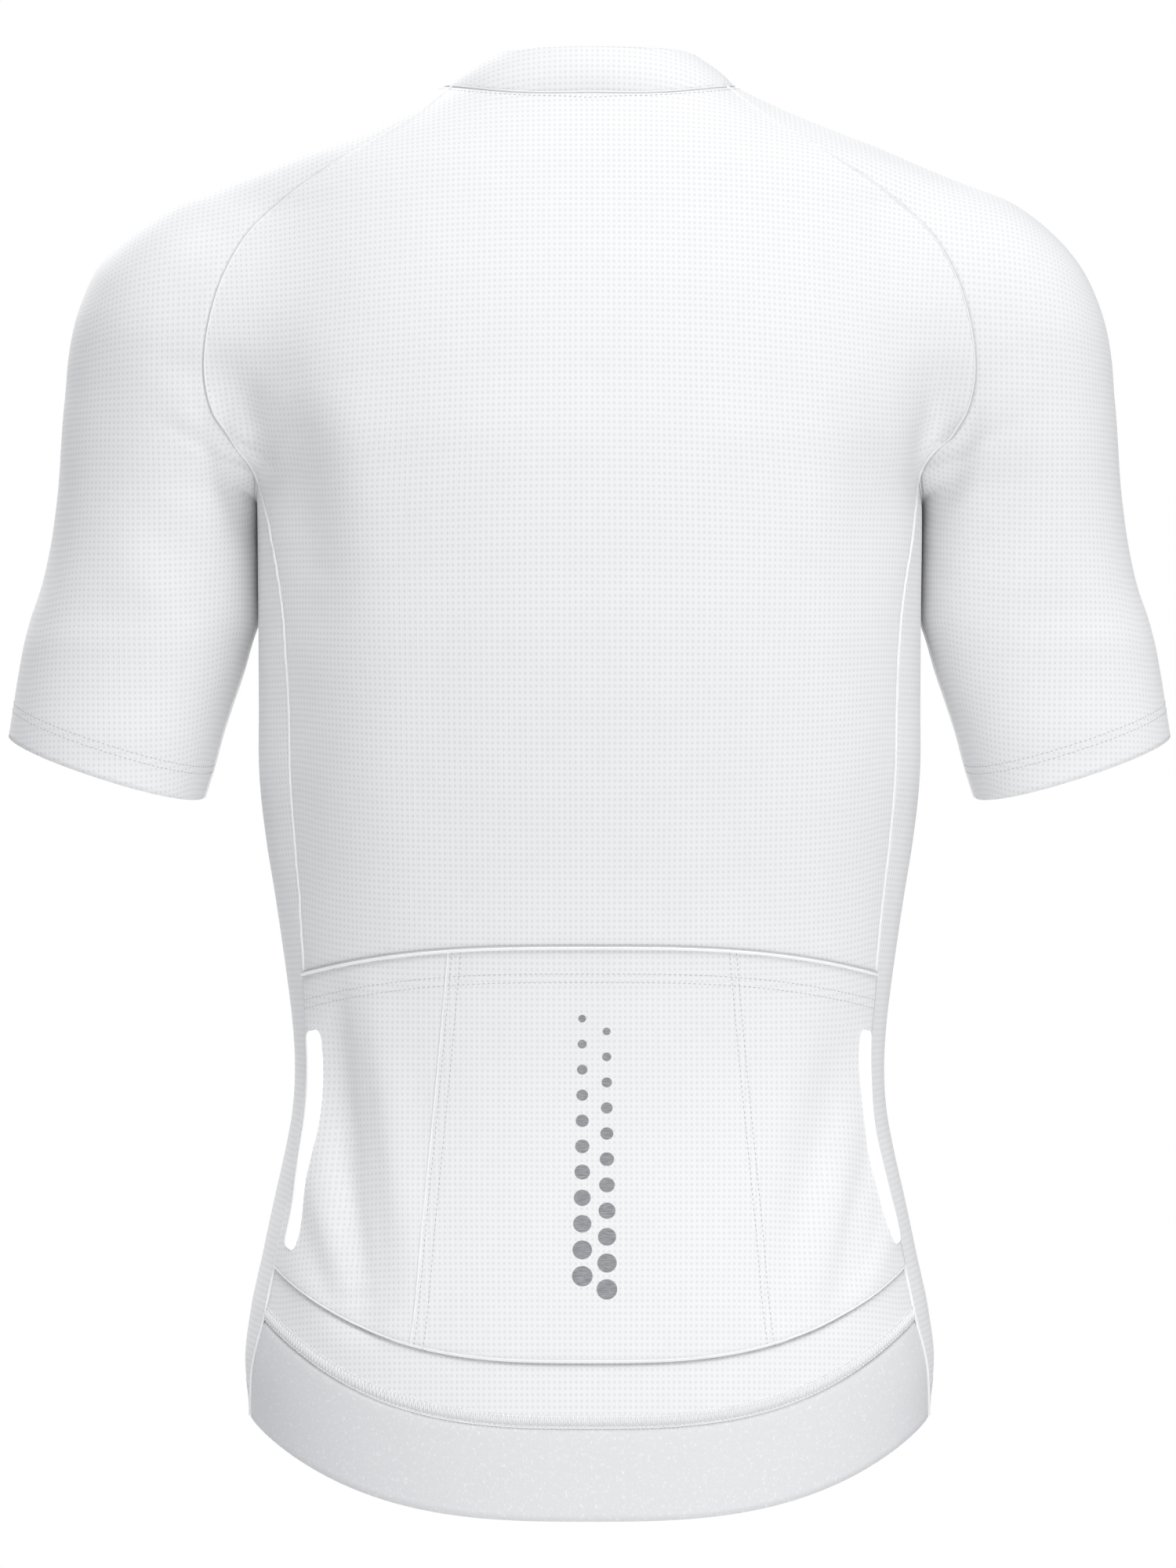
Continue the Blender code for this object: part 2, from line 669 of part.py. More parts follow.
def collar_turns():
    """Where the collar's columns stand: at the points of the panels it is sewn to."""
    first, last = SHOULDER_ROWS[0][2], SHOULDER_ROWS[0][4]
    raglan_back, raglan_front = neck_turn(first, 1), neck_turn(last, -1)
    nape = np.linspace(0, raglan_back, BACK_COLUMNS // 2 + 1)
    shoulder = np.linspace(raglan_back, raglan_front, SLEEVE_COLUMNS // 2 + 1)
    throat = [neck_turn(x, -1) for x in np.linspace(last, PLACKET_HALF, FRONT_COLUMNS)]
    half = np.concatenate([nape, shoulder[1:], throat[1:]])
    return np.concatenate([-half[:0:-1], half])


def collar_points():
    """The collar's outer face, one column for each step round from the right zip edge to the left."""
    turns = collar_turns()
    foot = neck_points(turns)
    top = plan(turns, COLLAR_TOP_HALF_WIDTH, COLLAR_TOP_BACK, COLLAR_TOP_FRONT, COLLAR_TOP_SQUARENESS)
    top = np.insert(top, 2, collar_top(turns), axis=1)
    top[[0, -1], 0] = -PLACKET_HALF, PLACKET_HALF
    aside = np.stack([np.sin(turns), np.cos(turns), np.zeros(len(turns))], 1)
    rows = []
    for share in np.linspace(0, 1, COLLAR_ROWS):
        rows.append(foot + (top - foot) * share + aside * COLLAR_CROWN * 4 * share * (1 - share))
    return np.array(rows)


def collar_top(turn):
    """Height of the collar's top: level round the nape and falling to the zip."""
    fall = (1 - np.cos(turn)) / 2
    return COLLAR_TOP_NAPE + (COLLAR_TOP_ZIP - COLLAR_TOP_NAPE) * fall**3.2


def build_collar(finish):
    points = collar_points()
    out = across_grid(points)
    out[0] = outward(points[0])
    outer = trimmed(points, "first_row")
    cloth_wall("collar", outer, outer - out * COLLAR_CLOTH, finish)
    return points


def zip_line(front, collar):
    """Centre-front points of the outer face, hem to collar top, and the way out of it."""
    line = np.concatenate([front[::-1, -1], collar[1:, -1]])
    line[:, 0] = 0
    run = np.gradient(line, axis=0)
    out = np.stack([np.zeros(len(run)), -run[:, 2], run[:, 1]], 1)
    return line, out / np.linalg.norm(out, axis=1)[:, None]


def build_zip(front, collar, finish_tape, finish_metal):
    line, out = zip_line(front, collar)
    near = line - out * TAPE_DEPTH
    outer = np.stack([near + (x, 0, 0) for x in (TAPE_NEAR, TAPE_FAR)], 1)
    cloth_pair("zip_tape", outer, outer - out[:, None] * TAPE_CLOTH, finish_tape)
    place = slider_place(line)
    build_slider(place, finish_metal)
    build_pull(place, finish_metal)


def build_tab(name, columns, out, finish):
    """A strip on the pocket panel's outer two columns, beside its side seam, with rounded ends."""
    seam, beside = columns[TAB_FIRST_ROW : TAB_LAST_ROW + 1].transpose(1, 0, 2)
    away = out[TAB_FIRST_ROW : TAB_LAST_ROW + 1]
    run = np.concatenate([[0], np.cumsum(np.linalg.norm(np.diff(seam, axis=0), axis=1))])
    # Rows crowd towards the ends, to round them.
    at = run[-1] * (1 - np.cos(np.linspace(0, math.pi, TAB_ROWS))) / 2
    under = []
    over = []
    for height in at:
        edge, inner, way = (
            np.array([np.interp(height, run, part[:, axis]) for axis in range(3)])
            for part in (seam, beside, away)
        )
        end = min(1.0, min(height, run[-1] - height) / TAB_ROUNDING)
        half = TAB_WIDTH / 2 * (TAB_END_WIDTH + (1 - TAB_END_WIDTH) * math.sqrt(1 - (1 - end) ** 2))
        inward = (inner - edge) / np.linalg.norm(inner - edge)
        middle = edge + inward * (TAB_FROM_SEAM + TAB_WIDTH / 2) + way * LAYER_GAP
        under.append([middle - inward * half, middle, middle + inward * half])
        over.append([point + way * TAB_FILM for point in under[-1]])
    cloth_wall(name, np.array(over), np.array(under), finish)


def slider_place(line):
    """The slider's own axes as a matrix: x across, y up the zip, z out, from the outer face."""
    run = np.concatenate([[0], np.cumsum(np.linalg.norm(np.diff(line, axis=0), axis=1))])
    at = run[-1] - SLIDER_BELOW_TOP
    point = [float(np.interp(at, run, line[:, axis])) for axis in range(3)]
    up = np.array([np.interp(run[-1], run, line[:, axis]) for axis in range(3)]) - point
    up /= np.linalg.norm(up)
    across = np.array((1.0, 0.0, 0.0))
    axes = Matrix((across, up, np.cross(across, up))).transposed().to_4x4()
    return Matrix.Translation(Vector(point) * MM) @ axes


def prism(outline, start, end):
    """A bmesh of a flat outline, pushed from a first set of points to a second."""
    shell = bmesh.new()
    corners = [shell.verts.new(Vector(start(a, b)) * MM) for a, b in outline]
    face = shell.faces.new(corners)
    pushed = bmesh.ops.extrude_face_region(shell, geom=[face], use_keep_orig=True)
    push = (Vector(end(0, 0)) - Vector(start(0, 0))) * MM
    moved = [item for item in pushed["geom"] if isinstance(item, bmesh.types.BMVert)]
    bmesh.ops.translate(shell, vec=push, verts=moved)
    return shell


def build_slider(place, finish):
    half = [
        (SLIDER_STEM_HALF, SLIDER_STEM_FOOT),
        (SLIDER_STEM_HALF, SLIDER_PLATE_FOOT),
        (SLIDER_HALF_WIDTH, SLIDER_PLATE_FOOT),
        (SLIDER_HALF_WIDTH, SLIDER_PLATE_TOP),
        (LUG_OUTER, SLIDER_PLATE_TOP),
        (LUG_OUTER, LUG_TOP),
        (LUG_INNER, LUG_TOP),
        (LUG_INNER, SLIDER_PLATE_TOP),
    ]
    outline = half + [(-x, height) for x, height in reversed(half)]
    reach = SLIDER_LENGTH / 2
    shell = prism(outline, lambda x, height: (x, -reach, height), lambda x, height: (x, reach, height))
    slider = add_object("zip_slider", shell, finish)
    slider.matrix_world = place


def build_pull(place, finish):
    """The pull hangs from its knuckle between the slider's lugs, its origin on the knuckle's axis."""
    hinge = place @ Matrix.Translation(Vector((0, HINGE_UP, HINGE_OUT)) * MM)
    half_thick = PULL_THICKNESS / 2
    sides = 12
    knuckle = []
    for i in range(sides + 1):
        turn = math.radians(-140 + 280 * i / sides)
        knuckle.append((KNUCKLE_RADIUS * math.cos(turn), KNUCKLE_RADIUS * math.sin(turn)))
    profile = [(-PULL_NECK - 2.0, -half_thick / 2), *knuckle, (-PULL_NECK - 2.0, half_thick / 2)]
    shell = prism(profile, lambda up, out: (-NECK_HALF, up, out), lambda up, out: (NECK_HALF, up, out))
    pull = add_object("zip_pull", shell, finish)
    pull.matrix_world = hinge

    round_end = []
    for i in range(9):
        turn = math.pi * i / 8
        across = PULL_HALF_WIDTH * math.cos(turn)
        round_end.append((across, -PULL_NECK - PULL_LENGTH + PULL_HALF_WIDTH * (1 - math.sin(turn))))
    outline = [(-PULL_HALF_WIDTH * 0.7, -PULL_NECK), (PULL_HALF_WIDTH * 0.7, -PULL_NECK)]
    outline += [(PULL_HALF_WIDTH, -PULL_NECK - 1.5), *round_end, (-PULL_HALF_WIDTH, -PULL_NECK - 1.5)]
    shell = prism(outline, lambda x, up: (x, up, -half_thick), lambda x, up: (x, up, half_thick))
    tab = add_object("pull_tab_blank", shell, finish)
    tab.matrix_world = hinge
    tab.hide_render = True
    tab.display_type = "WIRE"
    join = pull.modifiers.new("tab", "BOOLEAN")
    join.operation = "UNION"
    join.solver = "EXACT"
    join.object = tab


def main():
    for leftover in list(bpy.data.objects):
        bpy.data.objects.remove(leftover, do_unlink=True)
    dots = material("dotted white jersey cloth", (0.86, 0.87, 0.89), 0.75)
    gripper = material("white elastic hem gripper", (0.88, 0.89, 0.91), 0.6)
    tape = material("white zip tape", (0.85, 0.86, 0.88), 0.8)
    metal = material("pale grey zip metal", (0.72, 0.73, 0.75), 0.35, 1.0)
    reflective = material("reflective white tab", (0.9, 0.9, 0.92), 0.3)
    _, front = build_body(dots, gripper, reflective)
    collar = build_collar(dots)
    build_zip(front, collar, tape, metal)


main()
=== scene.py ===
"""Cycling jersey, dressed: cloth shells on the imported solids' form, with their sewing, zip and finishes.

Lengths in the tables are millimetres, and meshes are in metres. The wearer faces -Y, and +X is the
wearer's left.
"""

import math

import bmesh
import bpy
import numpy as np
from mathutils import Matrix, Vector


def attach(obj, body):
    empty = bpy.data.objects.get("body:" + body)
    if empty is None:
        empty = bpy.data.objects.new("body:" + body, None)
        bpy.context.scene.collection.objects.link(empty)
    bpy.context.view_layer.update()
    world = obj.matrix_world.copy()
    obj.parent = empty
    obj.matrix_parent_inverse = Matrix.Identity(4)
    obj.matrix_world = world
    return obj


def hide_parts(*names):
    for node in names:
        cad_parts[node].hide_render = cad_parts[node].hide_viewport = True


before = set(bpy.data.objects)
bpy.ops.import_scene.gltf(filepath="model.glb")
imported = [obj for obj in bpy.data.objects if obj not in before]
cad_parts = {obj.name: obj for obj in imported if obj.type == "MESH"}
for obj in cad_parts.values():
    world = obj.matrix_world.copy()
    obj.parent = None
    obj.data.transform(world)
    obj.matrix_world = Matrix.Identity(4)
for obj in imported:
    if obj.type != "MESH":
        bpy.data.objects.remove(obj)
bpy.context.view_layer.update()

MM = 0.001
SEAM_GAP = 0.3
SQUARENESS = 2.3  # exponent of the torso's oval sections, 2 being an ellipse
ARM_SQUARENESS = 2.1
PLACKET_HALF = 3.0  # from the centre front to each front's zip edge

# The rings of the collar's seam and of its top: half width, reach to the back and to the front, and the
# squareness of the back and front halves.
NECK = (69.0, 50.0, 64.0, (2.6, 2.8))
COLLAR_TOP = (53.5, 42.5, 50.0, (2.2, 2.4))
NAPE_TOP = 15.0  # heights of the collar's top at the nape and at the zip, and how late it falls
ZIP_TOP = -25.0
COLLAR_FALL = 3.2
COLLAR_CROWN = 2.0

BACK_COLUMNS = 25
FRONT_COLUMNS = 10
SLEEVE_COLUMNS = 17
COLLAR_ROWS = 4
ARM_FROM = 120.0  # the x beyond which rays start from inside the arm, at this y
ARM_INSIDE = -8.0
NECK_INSIDE = -120.0  # heights that the rays to the neck and to the armhole start from
ARMHOLE_INSIDE = -150.0


def listed(text):
    """The rows of a table that is written out under its columns' names."""
    return [tuple(map(float, row.split())) for row in text.strip().splitlines()[1:]]


def table(text):
    """The same, by column, in rising order of the first."""
    return dict(zip(text.split("\n")[1].split(), np.array(sorted(listed(text))).T))


# Level sections of the torso.
TORSO = table("""
z half_width back front
30 48 38 34
12 57 42 40
5 62 44.5 43
0 69 46.5 46
-5 78.5 49 48
-10 89.5 51.5 50
-18 108 56.5 52.5
-25 126 61 54.5
-32 144 65.5 56.5
-40 160 70 59
-50 166 75 62.5
-65 169 82 68.5
-90 172 93 79
-120 174 103 91
-150 171 110 101
-170 165 114 106.5
-184 160.8 115.5 109.5
-200 159.2 116.5 112
-230 158.6 117 115.5
-265 158.2 116 117
-300 158 112.5 116
-333 157.6 107.5 113.5
-352 155.6 104 112
-370 152.8 101 110.5
-389 149.8 97.5 109
-408 147 95 107.5
-427 144.3 93 106
-445 142.1 92 105
-464 140.8 91.5 104.5
-482 141.2 92.5 104.5
-502 144.2 94.5 105
-520 148.2 97.5 105.5
-539 152.4 101 106.5
-558 156.4 104.5 107.5
-577 160.6 108 108.5
-595 163.6 110.5 109.5
-612 164.6 112.5 110
-633 162.6 113.5 110
-655 160.5 113.5 109.5
-690 157 113 109
""")

# Level sections of the left arm: its nearest and furthest x, and its depth to each side of centre_y.
ARM = table("""
z inner outer centre_y back front
-30 112 130 -2 6 6
-38 114 152 -2 14 14
-44 116 170 -2 22 22
-50 118 190 -2 29 29
-57 120 205 -2 36 36
-66 122 217 -3 43 43
-76 123 227.5 -3 49 49
-89 124 237 -4 54.5 54.5
-103 124 243.5 -5 58.5 58
-118 125 248 -6 61 60
-130 127 250 -7 61.5 60.5
-146 133 251.3 -8 61 60
-160 141 252.6 -9 60 59
-172 149 253.4 -10 59 58
-184 156.4 254.2 -11 57.5 57
-192 159.4 254.9 -12 57 56.5
-200 159.3 255.8 -12 56 56
-220 159 258.8 -13 54.5 54.5
-239 158.7 263.2 -14 53.5 53.5
-254 159.2 268.4 -15 52.5 52.5
-265 162.6 271.4 -15 52 52
-277 166 273.8 -16 51.5 51.5
-295 172 276.8 -17 51 51
-309 176.5 279 -17 50.5 50.5
-324 180.5 281.5 -18 50 50
-345 187 284 -18 49.5 49.5
-365 192 287 -18 49.5 49.5
""")

# How widely the torso and the arm run into each other: broad at the shoulder, a crease at the armpit.
BLEND = table("""
z radius
30 10
-32 12
-60 26
-100 40
-125 38
-145 28
-160 18
-172 11
-184 7
-192 4.5
-199 1.0
-206 0.05
-400 0.05
""")

# Rows of the left sleeve from the neck to the armhole's corners: the fold over the shoulder, the seams
# to the back and to the front panel, and a point inside that the row is swung about.
SHOULDER_ROWS = listed("""
top_x top_z back_x back_z front_x front_z inside_x inside_z
69 0 65 -4 65 -9 58 -30
90 -10.4 80 -15 77 -25 74 -42
112 -19.5 97 -26.5 91 -44 92 -58
136 -28.8 116 -38.5 104 -65 110 -74
160 -39 135 -51 117 -86 128 -88
182 -46.8 150 -63 128 -106 144 -100
202 -55.4 161.5 -75 137 -124 158 -111
220 -69 171 -92 145 -140 171 -121
234 -85 177 -109.5 151 -152 181 -130
242.5 -101.5 180.4 -128 155 -161 189 -139
247.6 -117 180.6 -144 158 -169 195 -147
250.4 -133 177 -158.5 160 -174 199 -154
251.8 -148 169 -171 160.5 -178 203 -160
""")
# Rows across the armhole's lower edge: the fold over the arm, then where the edge is crossed.
ARMHOLE_ROWS = listed("""
top_z back_x back_y front_x front_y inside_z
-160 160 18 158 -38 -167
-172 159.6 6 159.2 -25 -176
-184 159 -10 159 -10 -187
""")
# Rows from the armpit to the cuff: the underarm seam, the outer fold, and how far the row's back dips and
# its front rises, as a slope.
CUFF_ROWS = listed("""
inner_z outer_z back_drop
-208 -197 0.01
-226 -212 0.03
-246 -229 0.05
-262 -244 0.07
-280 -259 0.09
-301 -276 0.10
-321 -293 0.11
-339.5 -309 0.12
""")

# Rows of the body below the armholes: heights at the centre back, at the two ends of the side panel,
# and at the centre front.
BODY_ROWS = listed("""
back back_seam front_seam front
-204 -204 -204 -203
-230 -230 -230 -226
-262 -262 -262 -256
-296 -296 -294 -287
-328 -328 -326 -318
-356 -358 -355 -346
-383 -390 -386 -375
-409 -423 -416 -403
-437 -450 -442 -428
-465 -470 -464 -450
-492 -489.5 -485 -471
-519 -509 -505 -491
-547 -528.5 -523 -510
-579 -548 -541 -528
-600 -561 -555 -542
-615 -573 -567 -554
-630 -585.5 -580 -566
-651 -608 -600 -581
-673 -633 -622 -597
""")
# Its rows at which the pocket starts and the back panel, the lower band and the gripper end.
SPLIT_ROWS = (7, 14, 16, 18)

# How far round from the centre back the side panel's two seams lie, in degrees.
SIDE_SEAMS = table("""
z back front
-183 83 106.5
-204 76 108
-236 70 110
-300 67 111
-370 67 111
-452 68 111
-563 70 111
-586 70.5 111
-606 74.5 111
-634 83 112
""")


def bent(t, low, high, low_slope, high_slope):
    """A point of the smooth curve from one value to the next, with the slopes that it has at each."""
    rise = t * (1 - t) ** 2 * low_slope + t * t * (t - 1) * high_slope
    return (1 + 2 * t) * (1 - t) ** 2 * low + t * t * (3 - 2 * t) * high + rise


def curve(rows, column, at):
    """The smooth curve through a table's column, read at heights `at`."""
    keys = rows["z"]
    values = rows[column]
    slopes = np.gradient(values, keys)
    at = np.clip(at, keys[0], keys[-1])
    low = np.clip(np.searchsorted(keys, at) - 1, 0, len(keys) - 2)
    step = keys[low + 1] - keys[low]
    ends = values[low], values[low + 1], step * slopes[low], step * slopes[low + 1]
    return bent((at - keys[low]) / step, *ends)


def oval(x, y, half_width, depth, squareness):
    """Below zero inside the oval section, above it outside, and about the distance to it nearby."""
    reach = (np.abs(x / half_width) ** squareness + np.abs(y / depth) ** squareness) ** (1 / squareness)
    reach = np.maximum(reach, 0.02)
    return np.maximum(np.hypot(x, y), 1.0) * (1 - 1 / reach)


def torso(x, y, z):
    depth = np.where(y > 0, curve(TORSO, "back", z), curve(TORSO, "front", z))
    return oval(x, y, curve(TORSO, "half_width", z), depth, SQUARENESS)


def arm(x, y, z):
    inner = curve(ARM, "inner", z)
    outer = curve(ARM, "outer", z)
    off_centre = y - curve(ARM, "centre_y", z)
    depth = np.where(off_centre > 0, curve(ARM, "back", z), curve(ARM, "front", z))
    off_middle = np.abs(x) - (inner + outer) / 2
    section = oval(off_middle, off_centre, (outer - inner) / 2, depth, ARM_SQUARENESS)
    return section + 2 * np.maximum(z - ARM["z"][-1], 0)


def skin(x, y, z):
    """The jersey's outer face is where this is zero: the torso and the arms run into each other."""
    body = torso(x, y, z)
    limb = arm(x, y, z)
    radius = curve(BLEND, "radius", z)
    overlap = np.maximum(radius - np.abs(body - limb), 0) / radius
    return np.minimum(body, limb) - overlap**2 * radius / 4


def unit(vectors):
    return vectors / np.maximum(np.linalg.norm(vectors, axis=-1, keepdims=True), 1e-9)


def outward(points, form=skin):
    """Unit directions out of a form, for a list or a grid of points on it."""
    flat = points.reshape(-1, 3)
    slope = [form(*(flat + nudge).T) - form(*(flat - nudge).T) for nudge in np.eye(3) * 0.05]
    return unit(np.array(slope).T).reshape(points.shape)


def meet(start, direction, reach=400.0, form=skin):
    """Where rays from inside a form, each along its own direction, meet its outer face."""
    start = np.asarray(start, float)
    direction = np.broadcast_to(np.asarray(direction, float), start.shape)
    pace = 5.0
    lengths = np.arange(pace, reach, pace)
    steps = start[:, None, :] + direction[:, None, :] * lengths[:, None]
    outside = form(*steps.reshape(-1, 3).T).reshape(len(start), -1) > 0
    # The first step that ends outside holds the crossing.
    far = lengths[np.argmax(outside, axis=1)]
    near = far - pace
    for _ in range(24):
        middle = (near + far) / 2
        inside = form(*(start + direction * middle[:, None]).T) < 0
        near = np.where(inside, middle, near)
        far = np.where(inside, far, middle)
    return start + direction * ((near + far) / 2)[:, None]


def face_points(x, z, side):
    """Points of the outer face at x and z, on the back where side is 1 and on the front at -1."""
    return meet(np.stack([x, np.where(np.abs(x) > ARM_FROM, ARM_INSIDE, 0.0), z], 1), (0, side, 0))


def armhole_point(x, y):
    """The point of the armhole's lower edge above x and y: up the crease between torso and arm."""
    return meet([(x, y, ARMHOLE_INSIDE)], (0, 0, -1))[0]


def plan(turns, half_width, back, front, squareness):
    """Points of a ring seen from above, at angles from the centre back, round by the left."""
    sine, cosine = np.sin(turns), np.cos(turns)
    on_back = cosine > 0
    back_power, front_power = squareness[0], 2 / squareness[1]
    x = half_width * np.sign(sine) * np.where(on_back, np.abs(sine), np.abs(sine) ** front_power)
    reach = np.maximum(1 - np.abs(sine) ** back_power, 0) ** (1 / back_power)
    y = np.where(on_back, back * reach, -front * np.abs(cosine) ** front_power)
    return np.stack([x, y], 1)


def neck_points(turns):
    """The collar seam at angles from the centre back, round by the left."""
    return meet(np.insert(plan(turns, *NECK), 2, NECK_INSIDE, axis=1), (0, 0, 1))


def neck_turn(x, side):
    """The angle from the centre back at which the collar seam passes x, on the back or on the front."""
    half_width, _, _, squareness = NECK
    if side > 0:
        return math.asin(x / half_width)
    return math.pi - math.asin((x / half_width) ** (squareness[1] / 2))


# Where the raglan seams meet the collar's seam.
RAGLAN_FRONT_X = SHOULDER_ROWS[0][4]
RAGLAN_BACK, RAGLAN_FRONT = neck_turn(SHOULDER_ROWS[0][2], 1), neck_turn(RAGLAN_FRONT_X, -1)


def sleeve_row(top, back, front, inside, form=skin, back_drop=0.0):
    """One row of the left sleeve, from its back edge over the top to its front edge."""
    top, back, front, inside = (np.asarray(p, float) for p in (top, back, front, inside))
    rise = top - inside
    rise[1] = 0
    rise /= np.linalg.norm(rise)
    across = np.array((0.0, 1.0, 0.0))
    aside = np.cross(rise, across)
    ends = []
    for edge, side in ((back, 1), (front, -1)):
        leg = edge - inside
        turn = math.atan2(side * leg @ across, leg @ rise) % (2 * math.pi)
        ends.append((side * turn, leg @ aside / math.hypot(leg @ rise, leg @ across)))
    directions = []
    for share in np.linspace(0, 1, SLEEVE_COLUMNS):
        turn = ends[0][0] + (ends[1][0] - ends[0][0]) * share
        end_turn, lean = ends[0] if turn > 0 else ends[1]
        lean = lean * (turn / end_turn) ** 2 - back_drop * math.sin(turn)
        directions.append(math.cos(turn) * rise + math.sin(turn) * across + lean * aside)
    row = meet(np.tile(inside, (SLEEVE_COLUMNS, 1)), np.array(directions), form=form)
    row[[0, -1]] = back, front
    return row


def arm_centre(z):
    inner, outer, centre_y = (curve(ARM, column, z) for column in ("inner", "outer", "centre_y"))
    return np.array(((inner + outer) / 2, centre_y, z))


def arm_fold(z, side):
    """The arm's outermost point at z where side is 1, and its nearest to the torso at -1."""
    point = arm_centre(z)
    point[0] = curve(ARM, "outer" if side > 0 else "inner", z)
    return point


def sleeve_points():
    """The left sleeve's outer face, neck to cuff, its columns from the back over the top to the front."""
    rows = [neck_points(np.linspace(RAGLAN_BACK, RAGLAN_FRONT, SLEEVE_COLUMNS))]
    for i, row in enumerate(SHOULDER_ROWS[1:], 1):
        top_x, top_z, back_x, back_z, front_x, front_z, inside_x, inside_z = row
        inside_y = -3.0 - 6.0 * i / len(SHOULDER_ROWS)
        back = face_points([back_x], [back_z], 1)[0]
        front = face_points([front_x], [front_z], -1)[0]
        rows.append(sleeve_row((top_x, inside_y, top_z), back, front, (inside_x, inside_y, inside_z)))
    for top_z, back_x, back_y, front_x, front_y, inside_z in ARMHOLE_ROWS:
        back = armhole_point(back_x, back_y)
        front = armhole_point(front_x, front_y)
        rows.append(sleeve_row(arm_fold(top_z, 1), back, front, arm_centre(inside_z), arm))
    for inner_z, outer_z, back_drop in CUFF_ROWS:
        inner = arm_fold(inner_z, -1)
        outer = arm_fold(outer_z, 1)
        rows.append(sleeve_row(outer, inner, inner, (inner + outer) / 2, arm, back_drop))
    return np.array(rows)


def spread(share, angle):
    """Where a share of the way round to an angle lies, as a share of the x there."""
    turned = np.sin(np.abs(share) * angle) / math.sin(angle)
    return np.sign(share) * turned ** (2 / SQUARENESS)


def ring_point(degrees, z):
    """The torso's outer face at an angle from the centre back, round by the left."""
    turn = math.radians(degrees)
    depth = curve(TORSO, "back" if degrees < 90 else "front", z)
    x = curve(TORSO, "half_width", z) * math.sin(turn) ** (2 / SQUARENESS)
    y = depth * math.copysign(abs(math.cos(turn)) ** (2 / SQUARENESS), math.cos(turn))
    return np.array((x, y, z))


def body_edges(sleeve):
    """Where the rows of the left back and front end: along the raglan, then down the side seams."""
    edges = []
    for seam, column, height in (("back", 0, 1), ("front", -1, 2)):
        below = [ring_point(curve(SIDE_SEAMS, seam, row[height]), row[height]) for row in BODY_ROWS]
        edges.append(np.concatenate([sleeve[: len(SHOULDER_ROWS) + 1, column], below]))
    return edges


def back_points(edge):
    """The whole back's outer face, neck to hem, one row for each point of its left edge."""
    share = np.linspace(-1, 1, BACK_COLUMNS)
    rows = [neck_points(RAGLAN_BACK * share)]
    centres = [*edge[1 : len(SHOULDER_ROWS) + 1, 2], *(row[0] for row in BODY_ROWS)]
    for end, centre_z in zip(edge[1:], centres):
        x = end[0] * spread(share, math.radians(curve(SIDE_SEAMS, "back", end[2])))
        z = centre_z + (end[2] - centre_z) * np.abs(x / end[0]) ** 3
        rows.append(face_points(x, z, 1))
        rows[-1][[0, -1]] = end * (-1, 1, 1), end
    return np.array(rows)


def front_points(edge):
    """The left front's outer face, from its raglan and side edge to its zip edge."""
    neck_x = np.linspace(RAGLAN_FRONT_X, PLACKET_HALF, FRONT_COLUMNS)
    neckline = neck_points([neck_turn(x, -1) for x in neck_x])
    drop = (neckline[:, 2] - neckline[0, 2]) / (neckline[-1, 2] - neckline[0, 2])
    above = len(SHOULDER_ROWS) + 1
    zip_z = np.linspace(neckline[-1, 2], BODY_ROWS[0][3] + 12, above)
    centres = [*zip_z, *(row[3] for row in BODY_ROWS)]
    rows = [neckline]
    for i in range(1, len(edge)):
        end = edge[i]
        angle = math.radians(180 - curve(SIDE_SEAMS, "front", end[2]))
        share = spread(np.linspace(1, 0, FRONT_COLUMNS), angle)
        x = PLACKET_HALF + (end[0] - PLACKET_HALF) * share
        # The rows hang like the neckline at the top, and like the hem's shallow arch lower down.
        plain = min(1.0, i / above)
        hung = np.interp(x, neck_x[::-1] * end[0] / RAGLAN_FRONT_X, drop[::-1])
        z = end[2] + (centres[i] - end[2]) * ((1 - plain) * hung + plain * (1 - share**2))
        rows.append(face_points(x, z, -1))
        rows[-1][0] = end
    return np.array(rows)


def side_points(sleeve, back_edge, front_edge):
    """The left side panel's outer face, from the armhole's lower edge to the hem."""
    corner = len(SHOULDER_ROWS)
    lower = sleeve[corner : corner + len(ARMHOLE_ROWS)]
    rows = [np.concatenate([lower[:, 0], lower[-2::-1, -1]])]
    share = np.linspace(0, 1, len(rows[0]))
    for back, front in zip(back_edge[corner + 1 :], front_edge[corner + 1 :]):
        first = curve(SIDE_SEAMS, "back", back[2])
        last = curve(SIDE_SEAMS, "front", front[2])
        heights = back[2] + (front[2] - back[2]) * share
        rows.append(np.array([ring_point(first + (last - first) * s, z) for s, z in zip(share, heights)]))
    return np.array(rows)


